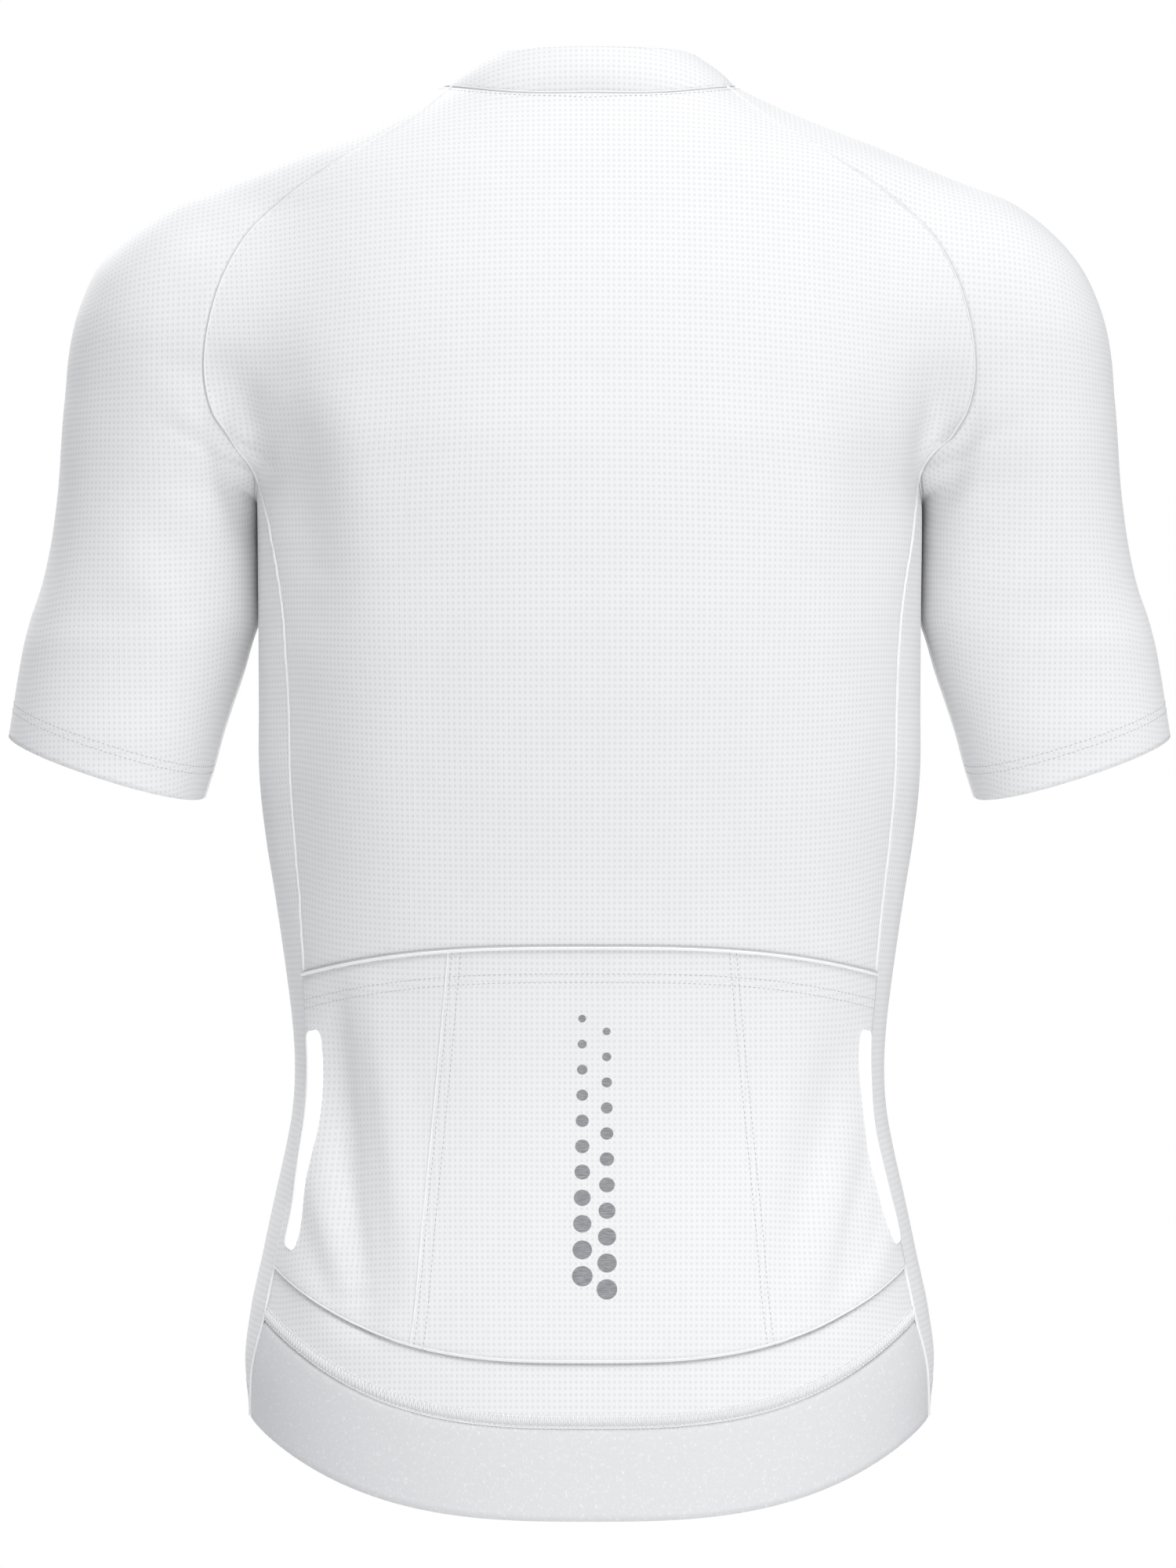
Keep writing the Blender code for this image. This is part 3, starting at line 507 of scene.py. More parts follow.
def collar_points():
    """The collar's outer face, from the right zip edge round to the left. Its columns stand at the points
    of the panels that it is sewn to."""
    nape = np.linspace(0, RAGLAN_BACK, BACK_COLUMNS // 2 + 1)
    shoulder = np.linspace(RAGLAN_BACK, RAGLAN_FRONT, SLEEVE_COLUMNS // 2 + 1)
    throat = [neck_turn(x, -1) for x in np.linspace(RAGLAN_FRONT_X, PLACKET_HALF, FRONT_COLUMNS)]
    half = np.concatenate([nape, shoulder[1:], throat[1:]])
    turns = np.concatenate([-half[:0:-1], half])
    foot = neck_points(turns)
    # Its top is level round the nape and falls to the zip.
    fall = ((1 - np.cos(turns)) / 2) ** COLLAR_FALL
    top = np.insert(plan(turns, *COLLAR_TOP), 2, NAPE_TOP + (ZIP_TOP - NAPE_TOP) * fall, axis=1)
    top[[0, -1], 0] = -PLACKET_HALF, PLACKET_HALF
    aside = np.stack([np.sin(turns), np.cos(turns), np.zeros(len(turns))], 1)
    rows = []
    for share in np.linspace(0, 1, COLLAR_ROWS):
        rows.append(foot + (top - foot) * share + aside * COLLAR_CROWN * 4 * share * (1 - share))
    return np.array(rows)


CLOTH = 1.0  # the shells' wall
COLLAR_CLOTH = 1.4
TAPE_CLOTH = 0.7
FILM = 0.4
RIDGE_FOOT = 0.5  # how far a seam's ridge reaches into the cloth
POCKET_OUT = 1.4  # from the back's outer face to the pocket panel's

ROW_STEPS = 7  # fine rows and columns for each one of the form's
COLUMN_STEPS = 5
COLLAR_COLUMN_STEPS = 3

SEAM_DIP = 0.5  # how far a panel's edge turns in at its seam

# Creases of the back, of the sleeves' backs and of the front: a bent line, how wide and how deep.
BACK_CREASES = listed("""
from_x from_z by_x by_z to_x to_z half_width depth
172 -141 164 -161 155 -184 8 4.5
147 -152 140 -188 131 -246 15 6.0
-165 -150 -161 -176 -155 -200 9 4.0
-138 -168 -134 -200 -128 -240 14 2.4
146 -215 147 -315 139 -404 24 6.5
-146 -225 -147 -315 -140 -404 20 3.0
119 -436 116 -490 104 -580 8.5 7.5
105 -446 101 -500 91 -572 7 2.8
134 -530 127 -556 117 -580 6 2.0
-118 -450 -105 -512 -88 -574 11 3.2
-133 -486 -124 -538 -113 -580 7 2.8
-138 -524 -133 -545 -126 -562 4 1.2
""")
SLEEVE_CREASES = listed("""
from_x from_z by_x by_z to_x to_z half_width depth
182 -152 173 -186 165 -214 5 2.2
-182 -150 -176 -180 -167 -204 5 1.8
208 -204 192 -230 184 -264 11 1.8
-204 -200 -190 -228 -184 -260 11 1.5
236 -110 232 -160 236 -220 16 1.6
""")
FRONT_CREASES = listed("""
from_x from_z by_x by_z to_x to_z half_width depth
149 -190 143 -210 132 -240 9 3.2
-147 -194 -141 -214 -131 -244 10 2.8
112 -184 92 -204 68 -215 12 2.2
-106 -188 -88 -206 -64 -219 12 2.2
148 -230 147 -315 138 -404 20 3.4
-148 -226 -147 -315 -138 -404 22 3.8
60 -418 32 -434 10 -440 9 1.8
-66 -434 -36 -448 -12 -452 9 1.8
98 -518 64 -548 22 -560 11 2.4
-94 -528 -60 -554 -20 -566 11 2.4
129 -478 117 -530 98 -586 9 2.8
-127 -484 -118 -534 -100 -582 9 2.6
""")
CREASE_SAMPLES = 24  # points along a crease's line
CREASE_END = 0.06  # how much of its arch a crease has left at each end
CREASE_LIP = 0.3  # height of the low ridge beside a crease, as a share of its depth
CREASE_LIP_AT = 2.1  # and how far out it stands, in half widths

# How the flat cloth is laid out: where the cloth starts to turn away and has turned, as the sideways part
# of its outward direction, and where it faces straight back or forward.
TURNING = 0.74
TURNED = 0.94
FACING = 0.8
LEAST_WEIGHT = 0.05  # how much cloth that turns away counts in the layout
LAYOUT_ROUNDS = 500


def runs(line):
    """How far along a line each of its points is."""
    return np.insert(np.linalg.norm(np.diff(line, axis=0), axis=1).cumsum(), 0, 0)


def points_at(places, run, line):
    """The points of a line at places along its run."""
    return np.stack([np.interp(places, run, line[:, axis]) for axis in range(3)], -1)


def from_edge(points, edge):
    """A grid seen from a named edge, so that its row 0 is that edge."""
    view = points if edge.endswith("row") else points.transpose(1, 0, 2)
    return view[::-1] if edge.startswith("last") else view


def finer(points, steps, axis):
    """A grid with smooth curves through its points along one axis, `steps` fine ones to a coarse one."""
    points = np.moveaxis(points, axis, 0)
    slopes = np.gradient(points, axis=0)
    rows = []
    for i in range(len(points) - 1):
        for t in np.linspace(0, 1, steps + 1)[:-1]:
            rows.append(bent(t, *points[i : i + 2], *slopes[i : i + 2]))
    return np.moveaxis(np.array([*rows, points[-1]]), 0, axis)


def fine(points, column_steps=COLUMN_STEPS):
    return finer(finer(points, ROW_STEPS, 0), column_steps, 1)


def on_form(points, form, share):
    """The grid drawn by a share of the way, a number or one for each point, on to the form's face."""
    flat = points.reshape(-1, 3)
    for _ in range(3):
        flat = flat - outward(flat, form) * form(*flat.T)[:, None]
    return points + (flat.reshape(points.shape) - points) * share


def square_to(points, form=skin):
    """Unit directions square to a grid, on the outer side of the form it was made from."""
    out = unit(np.cross(np.gradient(points, axis=0), np.gradient(points, axis=1)))
    row, column = (size // 2 for size in points.shape[:2])
    facing = (out[row, column] * outward(points[row, column][None], form)[0]).sum()
    return out * np.sign(facing)


def sunk(points, out, creases):
    """The grid with soft troughs drawn in it, each between low ridges."""
    flat = points.reshape(-1, 3)
    depth = np.zeros(len(flat))
    share = np.linspace(0, 1, CREASE_SAMPLES)
    for from_x, from_z, by_x, by_z, to_x, to_z, half_width, deepest in creases:
        bend = [
            (1 - share) ** 2 * a + 2 * share * (1 - share) * (2 * b - (a + c) / 2) + share**2 * c
            for a, b, c in ((from_x, by_x, to_x), (from_z, by_z, to_z))
        ]
        apart = np.hypot(flat[:, :1] - bend[0], flat[:, 2:] - bend[1])
        nearest = apart.argmin(axis=1)
        apart = apart.min(axis=1) / half_width
        along = np.sin(math.pi * (CREASE_END + (1 - 2 * CREASE_END) * share[nearest])) ** 0.8
        near = np.exp(-(apart**2)) - CREASE_LIP * np.exp(-((apart - CREASE_LIP_AT) ** 2))
        depth += deepest * along * near
    return points - out * depth.reshape(points.shape[:2])[..., None]


def pinned(points, edge, line, reach=3 * COLUMN_STEPS):
    """The grid with one edge moved on to a line, and the cloth beside it carried along, less and less."""
    points = points.copy()
    view = from_edge(points, edge)
    shift = line - view[0]
    for step in range(reach):
        view[step] += shift * (1 - step / reach) ** 2
    return points


def between(values, axis):
    """The mean of each two neighbours along an axis."""
    return (np.delete(values, 0, axis) + np.delete(values, -1, axis)) / 2


def cloth_map(points, out, side):
    """Places on the flat cloth, in metres: x and z where it faces back or forward, and true lengths where
    it turns away, fitted so that the cloth is stretched as little as it can be."""
    sideways = out[..., :1]
    lean = np.clip((np.abs(sideways) - TURNING) / (TURNED - TURNING), 0, 1)
    lean = lean * lean * (3 - 2 * lean)
    guide = (1 - lean) * np.array((1.0, 0, 0)) + lean * np.array((0, -1.0, 0)) * np.sign(sideways) * side
    across = unit(guide - out * (guide * out).sum(-1, keepdims=True))
    up = np.cross(across, out) * side
    facing = out[..., 1] * side
    weight = LEAST_WEIGHT + facing.clip(0, 1) ** 2
    places = []
    for way, first in ((across, points[..., 0]), (up, points[..., 2])):
        wanted = []
        for axis in (0, 1):
            step = np.diff(points, axis=axis)
            share = between(weight, axis) / np.maximum((step**2).sum(-1), 1e-6)
            wanted.append(((step * between(way, axis)).sum(-1), share))
        flat = least_stretch(first, wanted)
        seen = facing > FACING
        if seen.any():
            flat = flat + (first - flat)[seen].mean()
        places.append(flat)
    return np.stack(places, -1) * MM


def halves_map(points, out):
    """The same for a sleeve: its back half and its front half, which meet along its top."""
    half = points.shape[1] // 2
    rear = cloth_map(points[:, : half + 1], out[:, : half + 1], 1)
    fore = cloth_map(points[:, half:], out[:, half:], -1)
    return np.concatenate([rear, fore[:, 1:]], 1)


def least_stretch(values, wanted):
    """Values whose differences along both axes are nearest the wanted ones, by conjugate gradients."""

    def spread_back(differences):
        pairs = enumerate(differences)
        return -sum(np.diff(change, axis=axis, prepend=0, append=0) for axis, change in pairs)

    def pull(at):
        return spread_back([np.diff(at, axis=axis) * wanted[axis][1] for axis in (0, 1)])

    left = spread_back([change * share for change, share in wanted]) - pull(values)
    way = left.copy()
    size = (left * left).sum()
    for _ in range(LAYOUT_ROUNDS):
        if size < 1e-9:
            break
        pulled = pull(way)
        step = size / max((way * pulled).sum(), 1e-12)
        values = values + way * step
        left = left - pulled * step
        size, before = (left * left).sum(), size
        way = left + way * (size / before)
    return values


def placed(name, data, place=(0, 0, 0)):
    thing = bpy.data.objects.new(name, data)
    bpy.context.scene.collection.objects.link(thing)
    thing.location = place
    return thing


def add_piece(name, shell, finish, nodes=()):
    """Makes a finished mesh of the shell and has it ride the garment."""
    mesh = bpy.data.meshes.new(name)
    shell.to_mesh(mesh)
    shell.free()
    mesh.materials.append(finish)
    mesh.shade_smooth()
    piece = placed(name, mesh)
    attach(piece, "garment")
    if nodes:
        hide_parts(*nodes)
    return piece


def cloth_shell(node, points, out, uv, finish, wall=CLOTH, kind="cloth"):
    """A thin shell on a grid of outer points, with its place on the flat cloth kept as its UV."""
    rows, columns = points.shape[:2]
    shell = bmesh.new()
    bmesh.ops.create_grid(shell, x_segments=columns - 1, y_segments=rows - 1, size=1)
    for vertex, place in zip(shell.verts, points.reshape(-1, 3) * MM):
        vertex.co = place
    shell.normal_update()
    shell.verts.ensure_lookup_table()
    middle = (rows // 2) * columns + columns // 2
    if shell.verts[middle].normal.dot(Vector(out.reshape(-1, 3)[middle])) < 0:
        bmesh.ops.reverse_faces(shell, faces=shell.faces)
    piece = add_piece(f"{node}_{kind}", shell, finish, [node])
    mesh = piece.data
    if uv is not None:
        corners = np.zeros(len(mesh.loops), int)
        mesh.loops.foreach_get("vertex_index", corners)
        layer = mesh.uv_layers.new(name="cloth")
        layer.uv.foreach_set("vector", uv.reshape(-1, 2)[corners].astype(np.float32).ravel())
    solid = piece.modifiers.new("wall", "SOLIDIFY")
    solid.thickness = wall * MM
    solid.offset = -1


def trimmed(points, out, *edges):
    """The grid with the named edges drawn back by half the seam's gap, and turned in a little."""
    points = points.copy()
    for edge in edges:
        view = from_edge(points, edge)
        view[0] += unit(view[1] - view[0]) * SEAM_GAP / 2 - from_edge(out, edge)[0] * SEAM_DIP
    return points


def offset_line(points, edge, distance):
    """The line on a grid at a distance from one of its edges."""
    columns = from_edge(points, edge).transpose(1, 0, 2)
    return np.array([points_at(distance, runs(column), column) for column in columns])


def spaced(line, pitch):
    """Points along a line at an even pitch, and the way it runs at each."""
    run = runs(line)
    at = np.arange(pitch / 2, run[-1], pitch)
    here, ahead, behind = (points_at(at + shift, run, line) for shift in (0, 0.4, -0.4))
    return here, unit(ahead - behind)


def strokes(shell, here, along, out, length, width, height):
    """One small rounded stitch at each point."""
    places = list(zip(here, along, out, np.broadcast_to(length, len(here))))
    for first in range(0, len(places), STITCH_BATCH):
        few = bmesh.new()
        for point, way, lift, reach in places[first : first + STITCH_BATCH]:
            aside = np.cross(lift, way)
            axes = Matrix((way * reach / 2, aside * width / 2, lift * height / 2)).transposed().to_4x4()
            place = Matrix.Translation(Vector(point * MM)) @ axes
            bmesh.ops.create_icosphere(few, subdivisions=1, radius=MM, matrix=place)
        batch = bpy.data.meshes.new("batch")
        few.to_mesh(batch)
        few.free()
        shell.from_mesh(batch)
        bpy.data.meshes.remove(batch)


def zigzag(shell, low, high, form, pitch, width, height):
    """Looper thread laid to and fro between two lines."""
    count = int(runs(low)[-1] / pitch)
    ends = []
    for line in (low, high):
        run = runs(line)
        ends.append(points_at(np.linspace(0, run[-1], count), run, line))
    number = np.arange(count)
    points = np.array(ends)[number % 2, number]
    step = np.diff(points, axis=0)
    middle = between(points, 0)
    out = outward(middle, form)
    strokes(shell, middle + out * LOOP_LIFT, unit(step), out, np.linalg.norm(step, axis=1), width, height)


def ridge(shell, line, out, half_width, height, sides=6):
    """A low rounded ridge along a line, its feet just under the cloth."""
    aside = unit(np.cross(out, unit(np.gradient(line, axis=0))))
    first = len(shell.verts)
    bmesh.ops.create_grid(shell, x_segments=sides, y_segments=len(line) - 1, size=1)
    shell.verts.ensure_lookup_table()
    for i, vertex in enumerate(shell.verts[first:]):
        row, column = divmod(i, sides + 1)
        turn = math.pi * column / sides
        place = line[row] - aside[row] * half_width * math.cos(turn)
        vertex.co = (place + out[row] * ((height + RIDGE_FOOT) * math.sin(turn) - RIDGE_FOOT)) * MM


def fill(node, inputs):
    """Sets a node's inputs, by number or name, to values or to other nodes' outputs."""
    for key, value in inputs.items():
        socket = node.inputs[key]
        if isinstance(value, bpy.types.NodeSocket):
            node.id_data.links.new(value, socket)
        else:
            socket.default_value = (*value, 1) if socket.type == "RGBA" else value


def wire(tree, kind, *values, output=0, settings=None, **inputs):
    """An output of a new node, its inputs set in their order or by name."""
    node = tree.nodes.new("ShaderNode" + kind)
    for key, value in (settings or {}).items():
        setattr(node, key, value)
    fill(node, {**dict(enumerate(values)), **inputs})
    return node.outputs[output] if node.outputs else None


def maths(tree, operation, *values):
    return wire(tree, "Math", *values, settings={"operation": operation})


def vector(tree, operation, *values):
    output = "Value" if operation == "LENGTH" else "Vector"
    return wire(tree, "VectorMath", *values, output=output, settings={"operation": operation})


def ranged(tree, value, low, high, at_low=0, at_high=1, **settings):
    """A value carried from one range to another, and held at its ends."""
    return wire(tree, "MapRange", value, low, high, at_low, at_high, settings=settings)


def mixed(tree, share, low, high):
    """A colour between two others, at a share of the way."""
    node = tree.nodes.new("ShaderNodeMix")
    node.data_type = "RGBA"
    fill(node, {0: share, 6: low, 7: high})
    return node.outputs[2]


def cloth_place(tree):
    return wire(tree, "UVMap", settings={"uv_map": "cloth"})


def object_place(tree):
    return wire(tree, "TexCoord", output="Object")


def finish_named(name, colour, roughness, metallic=0.0, sheen=0.0):
    made = bpy.data.materials.new(name)
    made.use_nodes = True
    shader = made.node_tree.nodes["Principled BSDF"]
    fill(shader, {"Base Color": colour, "Roughness": roughness, "Metallic": metallic})
    fill(shader, {"Sheen Weight": sheen, "Sheen Roughness": 0.4})
    made.diffuse_color = (*colour, 1)
    return made, made.node_tree, shader


def surfaced(shader, colour, strength, depth, height):
    """Gives a shader its pattern of colour and its fine relief."""
    relief = wire(shader.id_data, "Bump", Strength=strength, Distance=depth, Height=height)
    fill(shader, {"Base Color": colour, "Normal": relief})


def dimples(tree, place):
    """One soft-edged dot in each cell of the knit, as a value from 0 to 1."""
    cells = vector(tree, "DIVIDE", place, (DOT_PITCH[0] * MM, DOT_PITCH[1] * MM, 1))
    off = vector(tree, "SUBTRACT", vector(tree, "FRACTION", cells), (0.5, 0.5, 0))
    return ranged(tree, vector(tree, "LENGTH", off), *DOT_EDGE, 1, 0, interpolation_type="SMOOTHSTEP")


def printed_dots(tree, place):
    """The two columns of round dots on the pockets, as a value from 0 to 1."""
    masks = []
    for x, z in ((GRAPHIC_X, GRAPHIC_TOP), (GRAPHIC_X + GRAPHIC_APART, GRAPHIC_TOP + GRAPHIC_PITCH / 2)):
        aside = wire(tree, "SeparateXYZ", vector(tree, "SUBTRACT", place, (x * MM, z * MM, 0)))
        down = maths(tree, "DIVIDE", aside.node.outputs[1], -GRAPHIC_PITCH * MM)
        row = wire(tree, "Clamp", maths(tree, "ROUND", down), 0, GRAPHIC_ROWS - 1)
        off = maths(tree, "MULTIPLY", maths(tree, "SUBTRACT", down, row), GRAPHIC_PITCH * MM)
        apart = vector(tree, "LENGTH", wire(tree, "CombineXYZ", aside, off))
        radius = ranged(tree, row, 0, GRAPHIC_ROWS - 1, GRAPHIC_LEAST * MM, GRAPHIC_MOST * MM)
        inside = maths(tree, "SUBTRACT", radius, apart)
        masks.append(ranged(tree, inside, -GRAPHIC_EDGE * MM, GRAPHIC_EDGE * MM))
    return maths(tree, "MAXIMUM", *masks)


def dotted_cloth(name, printed=False):
    """White knit with fine dimples over faint ribs, the dimples greyed with painted shade in their
    hollows, and with the pockets' dots if asked.
    """
    made, tree, shader = finish_named(name, WHITE, 0.72, sheen=0.12)
    place = cloth_place(tree)
    dot = dimples(tree, place)
    cloud = wire(tree, "TexNoise", Scale=38, Detail=2, Vector=object_place(tree))
    # The dimples' grey is painted shade in their hollows; the cloud adds a faint random tone.
    tone = mixed(tree, maths(tree, "ADD", dot, ranged(tree, cloud, 0.3, 0.7, 0, 0.1)), WHITE, PAINTED_DIMPLE_SHADE)
    if printed:
        stretch = wire(tree, "Mapping", Vector=place, Rotation=(0, 0, 0.5), Scale=(260, 2600, 1))
        brushed = wire(tree, "TexNoise", Scale=1, Detail=4, Vector=stretch)
        grey = mixed(tree, ranged(tree, brushed, 0.35, 0.7), (0.20, 0.205, 0.22), (0.42, 0.425, 0.44))
        tone = mixed(tree, printed_dots(tree, place), tone, grey)
    size = 1 / (RIB_SCALE * MM)
    rib = wire(tree, "TexWave", place, size, 0.6, 1, 2, output="Fac")
    surfaced(shader, tone, 0.22, KNIT_DEPTH * MM, maths(tree, "MULTIPLY_ADD", dot, -1, rib))
    return made


def gripper_knit(name, ground, fleck):
    """Close elastic knit, its fine bright specks scattered over short ribs."""
    made, tree, shader = finish_named(name, ground, 0.6, sheen=0.1)
    place = cloth_place(tree)
    squeeze = wire(tree, "Mapping", Vector=place, Rotation=(0, 0, 0.35), Scale=(1100, 620, 1))
    specks = wire(tree, "TexVoronoi", output="Distance", Scale=1, Vector=squeeze)
    cloud = wire(tree, "TexNoise", Scale=420, Detail=2, Vector=place)
    few = ranged(tree, cloud, 0.45, 0.65)
    bright = maths(tree, "MULTIPLY", ranged(tree, specks, 0.12, 0.5, 1, 0), few)
    surfaced(shader, mixed(tree, bright, ground, fleck), 0.35, KNIT_DEPTH * MM, specks)
    return made


def woven_tape(name, colour):
    """Plain weave: level bands, with painted shade a little darker in their hollows."""
    made, tree, shader = finish_named(name, colour, 0.75)
    place, size = object_place(tree), 1 / (WEAVE_SCALE * MM)
    weave = wire(tree, "TexWave", place, size, 0.3, output="Fac", settings={"bands_direction": "Z"})
    # Painted shade darkens the weave's hollows.
    tone = mixed(tree, ranged(tree, weave, 0, 1, 0.9, 1), [0.6 * part for part in colour], colour)
    surfaced(shader, tone, 0.4, KNIT_DEPTH * MM, weave)
    return made


def grained(name, colour, roughness, scale, depth=0.1, metallic=0.0, painted_glow=0.0):
    """A smooth finish with a faint grain: thread, film or metal, with a painted glow where asked."""
    made, tree, shader = finish_named(name, colour, roughness, metallic)
    grain = wire(tree, "TexNoise", Scale=scale, Detail=3, Vector=object_place(tree))
    tone = mixed(tree, grain, [0.94 * part for part in colour], colour)
    surfaced(shader, tone, 0.3, depth * MM, grain)
    # A painted glow, standing in for light that the finish catches.
    fill(shader, {"Emission Color": (1, 1, 1), "Emission Strength": painted_glow})
    return made


# The sleeve is drawn on to the form from one height to the other, and so many columns in from its edges.
SLEEVE_DRAWN = (-80.0, -120.0)
SLEEVE_EDGE_COLUMNS = 12

# Ridges: how far each reaches to its sides, and how high it stands.
SEAM_HALF = 0.5
SEAM_RISE = 0.6
# The grey strip beside each seam, a painted shadow line: its half width, height and sides.
SHADOW_LINE_HALF = 0.32
SHADOW_LINE_RISE = 0.1
PAINTED_SHADE_SIDES = 4
POCKET_EDGE = (0.8, 0.9)
WELT = (0.45, 0.3)
POCKET_FOOT = (0.5, 0.35)
POCKET_FOOT_UP = 0.6

# How far from an edge its rows of stitches run.
CUFF_STITCHES = (13.0, 16.5)
HEM_STITCHES = (12.0, 15.5)
POCKET_STITCHES = (12.0, 16.0)
NECK_STITCHES = (3.4,)
ZIP_STITCHES = (5.0,)
STITCH_PITCH = 2.4
STITCH = (1.6, 0.42, 0.42)  # length, width and height
STITCH_BATCH = 60  # stitches made at a time
# The pockets' dividers: x at the top and at the foot, and whether it is a raised seam or only stitched.
POCKET_DIVIDERS = (
    (65.8, 83.2, True),
    (63.9, 81.4, False),
    (59.8, 77.2, False),
    (-65.0, -82.5, False),
    (-68.2, -85.6, False),
)

# The gripper's coverstitch, and how far above the gripper its two lines and the grey strip of painted
# shade under it run.
COVER_UP = (0.8, 6.4)
COVER_SHADE_UP = 3.6
COVER_SHADE_STRIP = (3.1, 0.12)
LOOP = (1.0, 0.55, 0.7)  # pitch, width and height
LOOP_LIFT = 0.15
COVER_PITCH = 2.0
COVER_STITCH = (1.7, 0.55, 0.8)

TAPE_NEAR = 0.3
TAPE_FAR = 12.0
TAPE_COLUMNS = 6
TAPE_DEPTH = 2.2
TEETH_DEPTH = 1.65
TOOTH_PITCH = 0.8
TOOTH = (3.4, 0.76, 1.1)  # length, width and height
TOOTH_OFF_CENTRE = 0.8

TAB_WIDTH = 10.0
TAB_FROM_SEAM = 0.8
TAB_FIRST_ROW = 1
TAB_LAST_ROW = 6
TAB_LEANS = (8.0, 0.0)  # how far the left and the right tab's foot lies further in
TAB_ROUNDING = 5.0
TAB_END_WIDTH = 0.45  # as a share of the width
TAB_ROWS = 25
TAB_COLUMNS = 7
TAB_RISE = 0.5

DOT_PITCH = (2.52, 2.85)  # across and down
DOT_EDGE = (0.17, 0.36)  # where a dimple is at its deepest and where it ends, as shares of the pitch
RIB_SCALE = 4.2
WEAVE_SCALE = 3.5
KNIT_DEPTH = 0.2

# The pocket's printed dots: two staggered columns that grow downwards.
GRAPHIC_X = -7.8
GRAPHIC_APART = 11.2
GRAPHIC_TOP = -447.0
GRAPHIC_PITCH = 12.2
GRAPHIC_ROWS = 11
GRAPHIC_LEAST = 1.8  # radii of the top and the lowest dots
GRAPHIC_MOST = 4.7
GRAPHIC_EDGE = 0.1

WHITE = (0.885, 0.885, 0.89)
# The grey of the dimples is painted shade in their hollows.
PAINTED_DIMPLE_SHADE = (0.785, 0.787, 0.80)
knit = dotted_cloth("dotted white knit")
pocket_knit = dotted_cloth("dotted white knit with grey dots", printed=True)
gripper = gripper_knit("white elastic knit", (0.765, 0.768, 0.78), (0.92, 0.92, 0.93))
# The thread has a faint painted glow, so that the seams' ridges stand out brighter.
thread = grained("white sewing thread with painted glow", (0.93, 0.93, 0.935), 0.6, 3000, painted_glow=0.03)
# The stitches' grey is painted shade, standing in for the shadows of the thread.
stitch_shade_thread = grained("sewing thread greyed by painted shade", (0.50, 0.505, 0.52), 0.65, 3000)
# A grey strip laid beside each seam as its painted shadow line.
seam_shadow_grey = grained("painted shadow beside a seam", (0.64, 0.645, 0.66), 0.8, 2000)
# A grey strip under the coverstitch's loops, as painted shade between them.
cover_shade_grey = grained("painted shade under the coverstitch", (0.74, 0.745, 0.755), 0.8, 2000)
tape = woven_tape("white woven zip tape", (0.82, 0.82, 0.83))
coil = grained("white nylon zip coil", (0.84, 0.84, 0.85), 0.4, 1500, 0.05)
metal = grained("satin grey zip metal", (0.62, 0.63, 0.65), 0.32, 1200, 0.05, metallic=1.0)
# The film is reflective, and its brightness is a painted glow standing in for the light it returns.
film = grained("reflective film with painted glow", (0.95, 0.95, 0.96), 0.3, 900, 0.05, painted_glow=0.35)


def sewn_panel(node, points, out, side, *edges, wall=CLOTH):
    """A panel drawn back at its sewn edges and laid flat: a back at side 1, a front at -1, both at 0."""
    cut = trimmed(points, out, *edges)
    uv = cloth_map(cut, out, side) if side else halves_map(cut, out)
    cloth_shell(node, cut, out, uv, knit, wall=wall)


def seam(line, out, shadow_side, half_width=SEAM_HALF, rise=SEAM_RISE):
    """A seam stands as a thin ridge, with a grey strip beside it that is a painted shadow line."""
    ridge(seams, line, out, half_width, rise)
    aside = unit(np.cross(out, unit(np.gradient(line, axis=0))))
    beside = line + aside * shadow_side * (half_width + SHADOW_LINE_HALF / 2)
    ridge(painted_shadow_lines, beside, out, SHADOW_LINE_HALF, SHADOW_LINE_RISE, PAINTED_SHADE_SIDES)


def stitch(line, form):
    """A row of stitches along a line."""
    here, along = spaced(line, STITCH_PITCH)
    strokes(stitches, here, along, outward(here, form), *STITCH)


def stitch_beside(points, edge, distances, form):
    for distance in distances:
        stitch(offset_line(points, edge, distance), form)


HANDS = (("left", 1), ("right", -1))
SIDE_EDGES = ("first_column", "last_column")
ACROSS = np.array((1.0, 0, 0))
ABOVE = len(SHOULDER_ROWS) + 1
corner = len(SHOULDER_ROWS) * ROW_STEPS  # the row at the armhole's corner
closed = corner + 2 * ROW_STEPS  # and the one where the sleeve closes under the arm

sleeve_form = sleeve_points()
back_edge, front_edge = body_edges(sleeve_form)

back = fine(back_points(back_edge))
back_out = square_to(back)
back = sunk(back, back_out, BACK_CREASES)
back_uv = cloth_map(back, back_out, 1)
pocket_top, foot, band_foot, hem = ((ABOVE + row) * ROW_STEPS for row in SPLIT_ROWS)

for node, top, low, edges, raised, finish, slot in (
    ("back_panel", 0, foot, ("first_row", "last_row"), 0, knit, "jersey_cloth"),
    ("back_lower_band", foot, band_foot, ("first_row", "last_row"), 0, knit, "jersey_cloth"),
    ("hem_gripper", band_foot, hem, ("first_row",), 0, gripper, "gripper_elastic"),
    ("pocket_panel", pocket_top, foot, ("last_row",), POCKET_OUT, pocket_knit, "jersey_cloth"),
):
    rows = slice(top, low + 1)
    out = back_out[rows]
    cut = trimmed(back[rows] + out * raised, out, *SIDE_EDGES, *edges)
    cloth_shell(node, cut, out, back_uv[rows], finish)
pocket = cut

side = fine(side_points(sleeve_form, back_edge, front_edge), ROW_STEPS)
side_out = square_to(side, torso)
front = fine(front_points(front_edge))
front_out = square_to(front)
sleeve = fine(sleeve_form)
